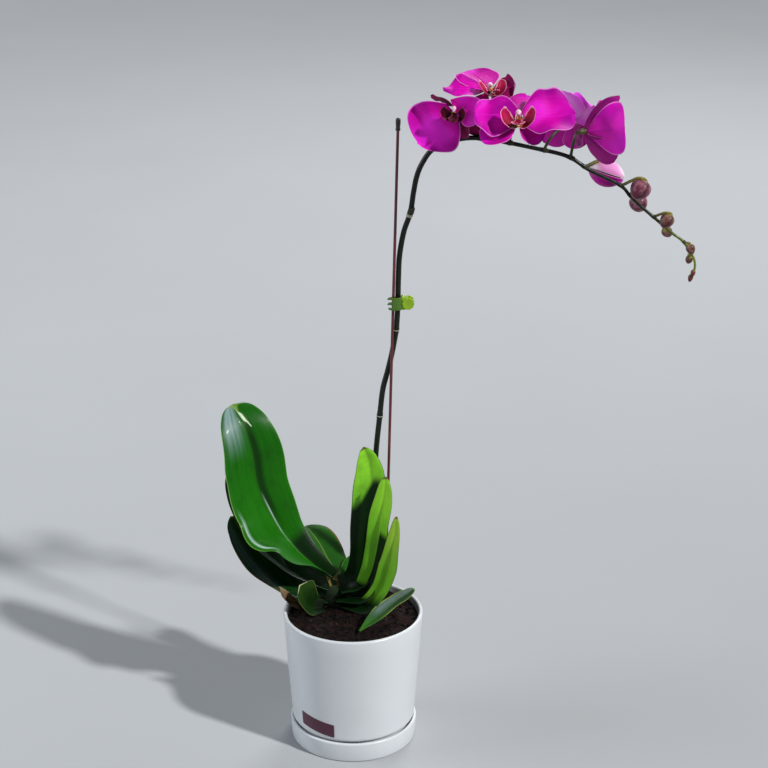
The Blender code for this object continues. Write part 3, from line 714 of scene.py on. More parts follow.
@dataclass(frozen=True)
class PetalFinish:
    """Petal: a deep throat, a bright middle, darker sides, fanned veins and a pale thin margin."""

    name: str
    throat: Colour = (0.55, 0.001, 0.2)
    middle: Colour = (0.74, 0.002, 0.45)
    side: Colour = (0.34, 0.0, 0.27)
    side_share: float = 0.6
    tip: Colour = (0.66, 0.003, 0.48)
    margin: Colour = (0.95, 0.3, 0.8)
    under: Colour = (0.6, 0.05, 0.45)
    vein: Colour = (0.36, 0.0, 0.22)
    vein_share: float = 0.3
    # light is the pale colour of the patches of painted light, and of the line along the midrib.
    light: Colour = (0.85, 0.02, 0.7)
    # The next field sets how strongly the patches of painted shade and painted light show.
    painted_shading_share: float = 0.8

    def material(self) -> bpy.types.Material:
        """Build the petal's skin, one coat of colour over the other.

        Returns:
            The finished material.
        """
        recipe = Recipe(self.name, self.throat)
        paint = recipe.paint
        across, along, under = places = recipe.place()
        wide, cloud, painted_shading = abs(across), recipe.noise(90.0), recipe.noise(28.0, 1.5)
        fleck = recipe.noise(1.0, 4.0, (14.0, 3.0, 1.0), places)
        paint(along.fit(0.03, 0.3), self.middle)
        paint(along.fit(0.65, 1.0), self.tip)
        paint((wide + cloud * 0.35).fit(0.55, 1.15, 0.0, self.side_share), self.side)
        veins = recipe.math("ADD", across.lines(7.0, cloud * 2.2),
                            across.lines(19.0, cloud * 3.0) * 0.45, clamp=True)
        veins = veins * along.fit(0.05, 0.95, 1.0, 0.25)
        paint(veins * self.vein_share, self.vein)
        paint(under * 0.75, self.under)
        # Painted shade and painted light: random patches in the side and light colours, for the shading of
        # folds.
        paint(painted_shading.fit(0.51, 0.64, 0.0, self.painted_shading_share), self.side)
        paint(painted_shading.fit(0.48, 0.32, 0.0, self.painted_shading_share), self.light)
        paint(wide.fit(0.035, 0.0, 0.0, 0.5) * along.fit(0.95, 0.7), self.light)
        paint(wide.fit(0.94, 0.995, 0.0, 0.85), self.margin)
        recipe.bump(fleck - veins * 0.5, 0.0005, 0.4)
        return recipe.done(fleck.fit(0.3, 0.7, 0.42, 0.58), Specular_IOR_Level=0.1)


@dataclass(frozen=True)
class LipFinish:
    """Lip: crimson with fine stripes, a pale rim and a golden heart."""

    name: str = "lip_finish"
    deep: Colour = (0.15, 0.0, 0.015)
    bright: Colour = (0.5, 0.001, 0.07)
    heart: Colour = (0.72, 0.3, 0.03)
    rim: Colour = (0.9, 0.38, 0.55)

    def material(self) -> bpy.types.Material:
        """Build the lip's skin.

        Returns:
            The finished material.
        """
        recipe = Recipe(self.name, self.deep)
        across, along, _ = recipe.place()
        wide, cloud = abs(across), recipe.noise(260.0)
        stripes = across.lines(9.0, cloud * 1.5)
        recipe.paint(along.fit(0.1, 0.8), self.bright)
        recipe.paint(stripes * 0.4, self.deep)
        recipe.paint(along.fit(0.16, 0.02) * wide.fit(0.6, 0.2), self.heart)
        recipe.paint(wide.fit(0.78, 0.92, 0.0, 0.9), self.rim)
        recipe.paint(along.fit(0.9, 0.98, 0.0, 0.9), self.rim)
        recipe.bump(cloud + stripes, 0.0003, 0.3)
        return recipe.done(cloud.fit(0.3, 0.7, 0.4, 0.5), Specular_IOR_Level=0.15)


@dataclass(frozen=True)
class SkinFinish:
    """A plain plant skin that runs from one colour at the foot to another at the tip."""

    name: str
    foot: Colour
    middle: Colour
    tip: Colour
    fleck: Colour
    fleck_share: float = 0.4
    middle_at: float = 0.5
    gloss: float = 0.38
    coat: float = 0.15
    grain: float = 320.0
    seam: Colour = (0.03, 0.002, 0.01)
    seam_share: float = 0.0

    def material(self) -> bpy.types.Material:
        """Build the skin.

        Returns:
            The finished material.
        """
        recipe = Recipe(self.name, self.foot)
        turn, along, _ = recipe.place()
        cloud, streak = recipe.noise(self.grain), recipe.noise(1.0, 3.0, (8.0, 2.0, 1.0), (turn, along))
        recipe.paint(along.fit(0.0, self.middle_at), self.middle)
        recipe.paint(along.fit(self.middle_at, 1.0), self.tip)
        recipe.paint(cloud.fit(0.42, 0.68) * self.fleck_share, self.fleck)
        recipe.paint(streak.fit(0.5, 0.75, 0.0, self.fleck_share * 0.6), self.fleck)
        recipe.paint(turn.lines(4.0, cloud * 0.5) * self.seam_share, self.seam)
        recipe.bump(cloud, 0.0003, 0.4)
        return recipe.done(cloud.fit(0.3, 0.7, self.gloss - 0.05, self.gloss + 0.1),
                           Coat_Weight=self.coat, Coat_Roughness=0.25, Specular_IOR_Level=0.2)


@dataclass(frozen=True)
class PlasticFinish:
    """Moulded or coated surface with a faint grain and rubbed high spots."""

    name: str
    colour: Colour
    worn: Colour
    gloss: float = 0.3
    metal: float = 0.0

    def material(self) -> bpy.types.Material:
        """Build the surface.

        Returns:
            The finished material.
        """
        recipe = Recipe(self.name, self.colour)
        grain = recipe.noise(500.0)
        recipe.paint(recipe.noise(45.0, 2.0).fit(0.45, 0.75, 0.0, 0.6), self.worn)
        recipe.bump(grain, 0.0002, 0.25)
        return recipe.done(grain.fit(0.25, 0.75, self.gloss - 0.05, self.gloss + 0.08),
                           Metallic=self.metal)


# ---------- pot, saucer and medium

def arc(centre: tuple[float, float], radius: float, start: float, end: float,
        steps: int) -> list[tuple[float, float]]:
    """Points of an arc in the profile plane.

    Args:
        centre: radius and height of the arc's centre.
        radius: its radius.
        start: first angle in degrees, from straight outwards.
        end: last angle in degrees.
        steps: number of points.

    Returns:
        Radius and height pairs.
    """
    angles = np.radians(np.linspace(start, end, steps))
    return [(centre[0] + radius * math.cos(a), centre[1] + radius * math.sin(a)) for a in angles]


@dataclass
class GlazedPot:
    """The tapered pot, the saucer that it stands in and the plain plum label on its wall."""

    rim_radius: float = 70.0
    height: float = 138.0
    wall: float = 4.0
    heel_radius: float = 62.0
    heel_height: float = 27.0
    foot_radius: float = 57.5
    foot_height: float = 5.35
    drain_radius: float = 6.0
    saucer_radius: float = 64.0
    saucer_height: float = 21.0
    saucer_wall: float = 3.6
    saucer_round: float = 2.2
    foot_round: float = 2.0
    heel_round: float = 5.5
    floor_round: float = 3.0
    drain_bevel: float = 0.4
    label_turns: tuple[float, float] = (-53, -17)
    label_foot: float = 30.5
    label_height: float = 14.5
    label_drop: float = 4.5
    label_stand_off: float = 0.28
    segments: int = 144
    glaze: GlazeFinish = field(default_factory=GlazeFinish)

    def wall_radius(self, height: Array) -> Array:
        """Outer radius of the straight wall at a height."""
        share = (height - self.heel_height) / (self.height - self.wall / 2 - self.heel_height)
        return self.heel_radius + (self.rim_radius - self.heel_radius) * share

    def pot(self) -> Shell:
        """The pot: foot, rounded heel, straight wall, round rim, inner wall and drain.

        Returns:
            Its closed skin.
        """
        rim, foot = self.wall / 2, self.foot_height
        floor = foot + self.wall
        inner = self.foot_radius - self.wall
        profile = [(self.drain_radius, foot + self.drain_bevel), (self.drain_radius + 0.5, foot)]
        profile += arc((self.foot_radius - self.foot_round, foot + self.foot_round), self.foot_round,
                       -90, 0, 6)
        profile += [(self.foot_radius, self.heel_height - 9.5)]
        profile += arc((self.heel_radius - self.heel_round, self.heel_height - 1), self.heel_round,
                       -72, 0, 10)
        heights = np.linspace(self.heel_height + 1, self.height - rim, 8)[:-1]
        profile += [(float(self.wall_radius(z)), float(z)) for z in heights]
        profile += arc((self.rim_radius - rim, self.height - rim), rim, 0, 180, 14)
        low = inner + (self.rim_radius - self.wall - inner) * (self.heel_height - 12) / 126
        profile += [(low, self.heel_height), (inner, floor + self.floor_round),
                    (inner - self.floor_round, floor), (self.drain_radius + 0.5, floor),
                    (self.drain_radius, floor - self.drain_bevel)]
        return turned_shell(profile, self.segments, True)

    def saucer(self) -> Shell:
        """The saucer: flat underside, upright wall with a round lip and a shallow floor.

        Returns:
            Its closed skin.
        """
        lip, low = self.saucer_wall / 2, self.saucer_round
        base = self.saucer_radius - low
        profile = [(0.4, 0.0), (base - 2.0, 0.0)]
        profile += arc((base - 1.0, low), low, -80, -10, 6)
        profile += arc((self.saucer_radius - lip, self.saucer_height - lip), lip, 0, 180, 12)
        profile += [(self.saucer_radius - self.saucer_wall - 0.9, 8.0),
                    (self.saucer_radius - self.saucer_wall - 3.0, 5.0), (0.4, 5.0)]
        return turned_shell(profile, self.segments, False)

    def label(self) -> Shell:
        """A plain rectangular label: a patch of the wall, a quarter of a millimetre proud.

        Returns:
            Its closed skin.
        """
        turn = np.radians(np.linspace(*self.label_turns, 40))[None, :]
        height = (self.label_foot + self.label_height * shares(12)[:, None]
                  - self.label_drop * (turn - turn.min()) / np.ptp(turn))
        radius = self.wall_radius(height) + self.label_stand_off
        middle = np.stack([radius * np.sin(turn), -radius * np.cos(turn), height], axis=-1)
        return blade_shell(middle, np.linspace(-1, 1, 40), 0.3)

    def build(self) -> None:
        """Make and dress the pot, the saucer and the label."""
        add_piece("glazed_pot", [self.pot()], self.glaze, ["pot"])
        add_piece("glazed_saucer", [self.saucer()], self.glaze, ["saucer"])
        plum = PlasticFinish("plum_label_finish", (0.075, 0.012, 0.035), (0.1, 0.02, 0.05), 0.45)
        add_piece("plain_label", [self.label()], plum)


@dataclass
class GrowingMedium:
    """The bark and peat in the pot: an uneven bed with loose crumbs and chips on it."""

    radius: float = 65.3
    top: float = 131.6
    floor: float = 9.8
    floor_radius: float = 49.0
    crumbs: int = 900
    chips: int = 90
    bark: BarkFinish = field(default_factory=BarkFinish)

    def height(self, x: Array, y: Array) -> Array:
        """Height of the bed: broad swells plus three sizes of random lumps.

        Args:
            x: first coordinate.
            y: second coordinate.

        Returns:
            The heights, in the shape of x.
        """
        swell = 0.7 * np.sin(0.06 * x + 0.4) * np.cos(0.05 * y)
        lumps = (1.1 * lattice_noise(x, y, 9.0, 3) + 0.7 * lattice_noise(x, y, 4.0, 5)
                 + 0.4 * lattice_noise(x, y, 1.8, 8))
        return self.top + swell + lumps

    def bed(self) -> Shell:
        """The bed: level circles from its floor, up its side and in over its lumpy top.

        Returns:
            Its closed skin.
        """
        turns = full_turn(220)
        radii = np.concatenate([[1.0, self.floor_radius, self.radius - 2, self.radius],
                                np.linspace(self.radius - 0.6, 1.0, 80)])[:, None]
        x, y = radii * np.cos(turns), radii * np.sin(turns)
        rings = np.stack([x, y, self.height(x, y)], axis=-1)
        rings[:4, :, 2] = np.array([self.floor, self.floor, 60.0, self.top - 2.5])[:, None]
        rings[2] *= (0.93, 0.93, 1.0)
        return ring_shell(rings)

    def lumps(self, count: int, low: float, high: float, flat: float, seed: int) -> Shell:
        """Loose lumps: eight-cornered stones with jittered corners, turned and scattered at random.

        Args:
            count: how many.
            low: smallest radius.
            high: largest radius.
            flat: thickness as a share of the width.
            seed: picks the random numbers.

        Returns:
            One skin that holds them all.
        """
        rng = np.random.default_rng(seed)
        reach = np.sqrt(rng.uniform(0.0, 1.0, count)) * (self.radius - 2.5)
        turn = rng.uniform(0, 2 * math.pi, count)
        x, y = reach * np.cos(turn), reach * np.sin(turn)
        size = rng.uniform(low, high, count)
        ring = np.radians(np.arange(0, 360, 60))
        corners = np.vstack([np.stack([np.cos(ring), np.sin(ring), 0 * ring], axis=1),
                             [[0, 0, 1.0], [0, 0, -1.0]]])
        points = corners[None] * rng.uniform(0.65, 1.25, (count, 8, 1)) * (1.0, 0.7, flat)
        spin, tilt = rng.uniform(0, 2 * math.pi, count), rng.normal(0, 0.5, count)
        for angle, a, b in ((tilt, 2, 0), (spin, 0, 1)):
            c, s = np.cos(angle)[:, None], np.sin(angle)[:, None]
            points[..., a], points[..., b] = (points[..., a] * c - points[..., b] * s,
                                              points[..., a] * s + points[..., b] * c)
        centre = np.stack([x, y, self.height(x, y) + size * flat * 0.35], axis=-1)
        points = centre[:, None] + points * size[:, None, None]
        j, after = np.arange(6), np.roll(np.arange(6), -1)
        cone = np.vstack([np.stack([j, after, np.full(6, 6)], axis=1),
                          np.stack([after, j, np.full(6, 7)], axis=1)])
        faces = (cone[None] + 8 * np.arange(count)[:, None, None]).reshape(-1, 3)
        return Shell(points.reshape(-1, 3), [faces], np.zeros((count * 8, 3)))

    def build(self) -> None:
        """Make and dress the bed, its crumbs and its bark chips."""
        add_piece("bark_bed", [self.bed()], self.bark, ["growing_medium"])
        loose = [self.lumps(self.crumbs, 0.6, 1.7, 0.8, 11), self.lumps(self.chips, 2.0, 3.6, 0.45, 12)]
        add_piece("bark_crumbs", loose, self.bark, sharp=20.0)


# ---------- leaves

@dataclass
class Leaf:
    """A strap leaf with a folded midrib, laid along a curve.

    crest is the share of the half width over which the fold is rounded, and left_share scales the
    left half, evenly spaced from foot to tip.
    """

    name: str
    midrib: tuple[Point, ...]
    face: tuple[Point, ...]
    half_width: float
    fold: tuple[float, ...]
    finish: LeafFinish
    widest: float = 0.6
    base: float = 0.4
    tip: float = 2.4
    curl: float = 0.1
    thickness: float = 2.0
    ripple: float = 0.6
    notch: float = 0.0
    crest: float = 0.12
    left_share: tuple[float, ...] = (1.0, 1.0)
    slot: str = "leaf_green"
    rows: int = 90
    columns: int = 37

    def middle(self) -> tuple[Array, Array]:
        """The leaf's middle surface.

        A straight line across each station is folded up on both sides of the midrib, its
        margins are rolled down by the cube of the share across, and a slow wave runs along them.

        Returns:
            The points, rows by columns by three, and the share across of each column.
        """
        along, across = shares(self.rows), even_across(self.columns)
        centre, tangent, side, face = ribbon_frame(self.midrib, self.face, along)
        half = self.half_width * outline_share(along, self.base, self.widest, self.tip)[:, None]
        half = half * np.where(across < 0, blend(self.left_share, along)[:, None], 1.0)
        fold = np.radians(blend(self.fold, along))[:, None]
        lift = np.sqrt(across ** 2 + self.crest ** 2) - self.crest
        upward = half * (lift * np.sin(fold) - self.curl * np.abs(across) ** 3)
        phase = 9.0 * along[:, None] + 2.0 * np.sign(across)
        upward = upward + self.ripple * np.sin(phase) * np.abs(across) ** 2
        back = self.notch * bell(across, 0.05, 0.16) * smooth_step(along, 0.8, 1.0)[:, None]
        return lay(centre, (half * across * np.cos(fold), side), (upward, face), (-back, tangent)), across

    def build(self) -> None:
        """Make and dress the leaf."""
        body = self.thickness * (0.45 + 0.75 * (1 - shares(self.rows)) ** 1.5)
        add_piece(self.name + "_blade", [blade_shell(*self.middle(), body)], self.finish,
                  [self.name], sharp=70.0)


# Leaf finishes: dark feet and slanted dark edges are painted shade and shadow, bloom tints painted sheen.
OLD_LEAF = LeafFinish("old_leaf_finish", bloom=(0.26, 0.37, 0.37), painted_sheen_share=0.85, painted_sheen_from=0.72,
    margin=(0.16, 0.32, 0.07), margin_width=0.018, tear=0.9, painted_highlight_share=0.85, middle=(0.007, 0.12, 0.001),
    tip=(0.003, 0.08, 0.001), side=(0.001, 0.03, 0.001), side_share=0.15, vein_share=0.6,
    vein=(0.03, 0.22, 0.004), groove_shade=0.8, rib=(0.03, 0.16, 0.01), base_and_shadow_from=0.03, base_and_shadow_to=0.1, lean=0.2,
    shadow_slant_from=-0.1, shadow_slant_to=0.15, coat=0.03)
DARK_LEAF = LeafFinish("dark_leaf_finish", base=(0.003, 0.015, 0.002), middle=(0.003, 0.028, 0.003),
    tip=(0.008, 0.05, 0.006), side=(0.006, 0.03, 0.012), side_share=0.5, margin=(0.12, 0.12, 0.03),
    under=(0.01, 0.05, 0.006), vein_share=0.12, bloom=(0.12, 0.17, 0.2), painted_sheen_share=0.3, painted_sheen_from=0.1)
EDGED_LEAF = replace(DARK_LEAF, name="edged_leaf_finish", middle=(0.004, 0.035, 0.004),
    tip=(0.015, 0.06, 0.008), margin=(0.12, 0.06, 0.03), margin_width=0.06, under=(0.01, 0.045, 0.006),
    bloom=(0.12, 0.16, 0.2), painted_sheen_from=0.3)
FRONT_LEAF = LeafFinish("front_leaf_finish", base=(0.03, 0.13, 0.01), middle=(0.02, 0.06, 0.015),
    tip=(0.03, 0.07, 0.03), side=(0.04, 0.08, 0.06), side_share=0.6, margin=(0.2, 0.32, 0.03),
    margin_width=0.1, bloom=(0.16, 0.22, 0.22), painted_sheen_share=0.5, painted_sheen_from=0.25)
BACK_LEAF = LeafFinish("back_leaf_finish", base=(0.22, 0.15, 0.02), base_and_shadow_to=0.3, rib=(0.26, 0.32, 0.1),
    middle=(0.012, 0.085, 0.004), tip=(0.012, 0.09, 0.004), side=(0.02, 0.11, 0.006),
    margin=(0.2, 0.06, 0.03), margin_width=0.06)
BACK_LEAF_PLAIN = LeafFinish("plain_leaf_finish", middle=(0.008, 0.1, 0.003), tip=(0.02, 0.16, 0.006))
BRIGHT_LEAF = LeafFinish("bright_leaf_finish", base=(0.0015, 0.017, 0.001), middle=(0.1, 0.42, 0.015),
    tip=(0.32, 0.82, 0.035), side=(0.001, 0.02, 0.001), side_share=0.0, margin=(0.05, 0.11, 0.01),
    vein=(0.4, 0.8, 0.08), vein_share=0.35, rib=(0.42, 0.85, 0.1), end=(0.12, 0.14, 0.03),
    base_and_shadow_from=0.57, base_and_shadow_to=0.64, lean=0.19, shadow_slant_from=-0.9, shadow_slant_to=0.35, gloss=0.45, coat=0.04)
FRESH_LEAF = LeafFinish("fresh_leaf_finish", base=(0.001, 0.012, 0.001), middle=(0.13, 0.46, 0.012),
    tip=(0.32, 0.72, 0.035), side=(0.07, 0.28, 0.008), margin=(0.06, 0.11, 0.015), vein=(0.4, 0.78, 0.08),
    vein_share=0.35, rib=(0.4, 0.75, 0.1), end=(0.12, 0.12, 0.03), base_and_shadow_from=0.21, base_and_shadow_to=0.27,
    lean=0.38, shadow_slant_from=-0.4, shadow_slant_to=0.1, gloss=0.45, coat=0.04)
YELLOW_LEAF = replace(FRESH_LEAF, name="yellow_leaf_finish", middle=(0.13, 0.42, 0.012),
    tip=(0.3, 0.52, 0.04), side=(0.1, 0.32, 0.012), margin=(0.1, 0.09, 0.02), margin_width=0.04,
    vein=(0.38, 0.66, 0.08), vein_share=0.4, rib=(0.36, 0.62, 0.08), end=(0.16, 0.07, 0.03),
    base_and_shadow_from=0.18, base_and_shadow_to=0.34, lean=0.12, shadow_slant_from=-1.0, shadow_slant_to=1.0)
OLIVE_LEAF = LeafFinish("olive_leaf_finish", base=(0.002, 0.008, 0.001), middle=(0.005, 0.02, 0.002),
    tip=(0.02, 0.055, 0.006), side=(0.006, 0.02, 0.003), margin=(0.1, 0.13, 0.04), margin_width=0.03,
    under=(0.005, 0.02, 0.003), end=(0.62, 0.66, 0.36), gloss=0.6, coat=0.0)
DRY_LEAF = LeafFinish("dry_sheath_finish", base=(0.05, 0.03, 0.015), middle=(0.14, 0.08, 0.04),
    tip=(0.28, 0.2, 0.11), side=(0.07, 0.035, 0.02), side_share=0.6, margin=(0.42, 0.34, 0.2),
    under=(0.1, 0.05, 0.03), vein=(0.05, 0.025, 0.015), vein_share=0.4, vein_count=14.0,
    end=(0.42, 0.34, 0.2), gloss=0.75, coat=0.0)


LEAVES = (
    Leaf("leaf_left_tall", ((-21, 30, 158), (-37, 37, 167), (-55, 43, 180), (-73, 50, 199),
        (-87, 53, 225), (-97, 54, 251), (-101, 54, 283), (-107, 58, 306), (-114, 66, 322),
        (-121, 76, 329)), ((0.1, -0.25, 1), (0.45, -0.5, 0.7), (0.5, -0.85, 0.15), (0.45, -0.9, 0.12),
        (0.3, -0.8, 0.5)), 34, (56, 46, 30, 20, 12), OLD_LEAF, widest=0.62, base=0.3, notch=10.0,
        ripple=0.2, left_share=(1.1, 2.9, 2.2, 1.35, 1.1, 1.0, 1.0)),
    Leaf("leaf_left_middle", ((-22, 28.5, 143), (-42, 39, 147), (-63, 50, 154), (-85, 60, 170),
        (-103, 66, 193), (-116, 70, 218), (-124, 72, 238), (-128.5, 74, 253)), ((0.1, -0.2, 1),
        (0.5, -0.4, 0.8), (0.65, -0.6, 0.4), (0.65, -0.7, 0.25)), 28, (50, 40, 30, 20), DARK_LEAF,
        base=0.5, tip=2.6, left_share=(0.5, 0.7, 0.7, 0.5)),
    Leaf("leaf_left_low", ((-24, 26, 135), (-43, 29, 137.5), (-62, 37, 143.5), (-84, 45, 159),
        (-104, 51, 178.5), (-119, 55, 201), (-125, 57, 214)), ((0.1, -0.3, 1), (0.5, -0.4, 0.8),
        (0.6, -0.6, 0.5), (0.65, -0.65, 0.4)), 23, (30, 18, 16, 14), EDGED_LEAF,
        widest=0.55, base=0.38, tip=1.5),
    Leaf("leaf_back_left", ((-18, 31, 143), (-20, 50.5, 156.5), (-27, 65, 163), (-36, 78, 174.5),
        (-45, 89, 182), (-50, 97, 185)), ((0.3, -0.8, 0.6), (0.2, -0.8, 0.7), (0.1, -0.5, 0.9)), 20,
        (34, 16, 8), BACK_LEAF, base=0.34, tip=2.6, ripple=0.3),
    Leaf("leaf_back_right", ((-15, 32, 140), (-3, 41.5, 145), (4, 50, 159), (9, 56, 171)),
        ((-0.1, -0.8, 0.6), (-0.1, -0.8, 0.7)), 17, (30, 18), BACK_LEAF_PLAIN, tip=2.6, ripple=0.3),
    Leaf("leaf_right_tall", ((-11, 25, 146), (1, 26, 151), (10, 28, 163), (15, 29, 186), (16, 28, 216),
        (18, 28, 246), (19, 28, 273), (16, 28, 291), (11, 27, 303)), ((-0.1, -0.4, 1), (-0.35, -0.7, 0.6),
        (-0.35, -0.95, 0.05), (-0.3, -0.95, 0.05), (-0.3, -0.9, 0.2)), 19.5, (44, 36, 28, 24, 20),
        BRIGHT_LEAF, widest=0.7, base=0.95, tip=1.5, curl=0.04, slot="young_leaf_green"),
    Leaf("leaf_right_middle", ((-11, 23, 139.5), (3, 18, 143.4), (14, 13, 151), (21, 12, 171),
        (25, 12, 196), (28, 10, 230), (32, 9, 256), (33, 9, 279)), ((-0.2, -0.4, 0.9), (-0.6, -0.75, 0.4),
        (-0.5, -0.85, 0.05), (-0.4, -0.9, 0.1)), 13.5, (40, 38, 28, 22), FRESH_LEAF, widest=0.7,
        base=1.35, tip=1.5, curl=0.05, slot="young_leaf_green"),
    Leaf("leaf_right_low", ((-13, 20, 134.6), (2, 10, 137), (16, 1.5, 142), (30, -3, 162),
        (37.5, -6, 190), (40.5, -8, 213), (42.5, -8, 230), (43.5, -8, 244)), ((-0.2, -0.4, 0.9),
        (-0.6, -0.7, 0.4), (-0.5, -0.85, 0.15), (-0.4, -0.9, 0.1)), 12.5, (36, 37, 28, 22), YELLOW_LEAF,
        widest=0.62, base=0.75, tip=0.8, curl=0.05, slot="young_leaf_green"),
    Leaf("leaf_front_small", ((7, -42, 136), (23, -24, 140), (42, 0, 145), (55, 8, 151), (62, 12, 155)),
        ((-0.35, -0.5, 0.8), (-0.35, -0.55, 0.8), (-0.3, -0.6, 0.8)), 10, (30, 30, 26), FRONT_LEAF,
        widest=0.5, base=0.12, tip=1.8, curl=0.0, thickness=1.6, rows=60),
    Leaf("cut_leaf_stub", ((-31, 16, 131), (-43, 9, 135), (-49, 2, 150), (-53, -2, 166)),
        ((0.3, -0.6, 0.8), (0.5, -0.6, 0.6)), 16, (44, 30), OLIVE_LEAF, widest=0.8, base=0.6, tip=9.0,
        curl=0.0, rows=50, ripple=0.2),
    Leaf("dried_sheath", ((-48, 11, 133), (-60, 7, 142), (-68, 4, 152), (-73, 0, 163)), ((0.5, -0.6, 0.6),
        (0.6, -0.6, 0.5)), 5.5, (20, 16), DRY_LEAF, widest=0.4, base=0.7, tip=1.4, curl=0.0,
        thickness=0.8, ripple=1.2, slot="dry_sheath", rows=50),
)


@dataclass
class Foliage:
    """The crown and every leaf that it carries, from the old ones on the left to the young ones."""

    crown_centre: tuple[float, float] = (-18.0, 26.0)
    crown_radius: float = 7.6
    crown_bottom: float = 122.0
    crown_top: float = 150.0

    def crown(self) -> Shell:
        """The crown: an upright stem, wider where each leaf base leaves its ring.

        Returns:
            Its closed skin.
        """
        along = shares(30)
        radius = self.crown_radius * (1.7 - 0.6 * along) * (1 - 0.03 * np.abs(np.sin(along * 5 * math.pi)))
        radius = radius * np.sqrt(1 - smooth_step(along, 0.8, 1.06) ** 2)
        rise = along[:, None] * (0, 0, self.crown_top - self.crown_bottom)
        return tube_shell(np.array((*self.crown_centre, self.crown_bottom)) + rise, radius, 32)

    def build(self) -> None:
        """Make and dress the crown and the leaves."""
        # The crown's near-black skin is painted shade, deep among the leaf bases.
        skin = SkinFinish("shaded_crown_finish", (0.006, 0.008, 0.003), (0.003, 0.01, 0.002),
                          (0.003, 0.014, 0.002), (0.02, 0.02, 0.006), gloss=0.8, coat=0.0)
        add_piece("crown_stem", [self.crown()], skin, ["crown"])
        for leaf in LEAVES:
            leaf.build()


# ---------- flowers

class Part(Enum):
    """The five outer parts of a flower."""

    DORSAL_SEPAL = "dorsal_sepal"
    LEFT_SEPAL = "left_sepal"
    RIGHT_SEPAL = "right_sepal"
    LEFT_PETAL = "left_petal"
    RIGHT_PETAL = "right_petal"

    @property
    def is_petal(self) -> bool:
        """Whether the part is one of the two broad petals."""
        return self in (Part.LEFT_PETAL, Part.RIGHT_PETAL)


@dataclass(frozen=True)
class Tepal:
    """A petal or sepal.

    clock is its angle seen from the front, lean its tilt forwards and turn its roll, in degrees;
    length and width are in millimetres; bend is how much further it leans by its tip. ruffle
    scales its waves, crease folds it forwards along its midrib and sweep curves it sideways (both
    in degrees), and skew moves its right half's widest place outwards and its left one's inwards.
    slide and reach move its foot sideways and outwards, and base, widest and tip shape its outline.
    """

    clock: float
    lean: float
    turn: float
    length: float
    width: float
    bend: float
    ruffle: float = 1.0
    crease: float = 0.0
    sweep: float = 0.0
    skew: float = 0.0
    slide: float = 0.0
    reach: float = 0.0
    base: float = 0.16
    widest: float = 0.56
    tip: float = 2.2


def mirrored(sign: int, *points: Point) -> list[Point]:
    """Points with their first coordinate times a sign."""
    return [(sign * x, y, z) for x, y, z in points]


CALLUS_GOLD = SkinFinish("callus_finish", (0.6, 0.16, 0.04), (0.75, 0.36, 0.05), (0.85, 0.55, 0.12),
    (0.4, 0.02, 0.03), 0.5)
COLUMN_PALE = SkinFinish("column_finish", (0.62, 0.06, 0.34), (0.8, 0.42, 0.62), (0.88, 0.8, 0.82),
    (0.7, 0.12, 0.36), 0.3)


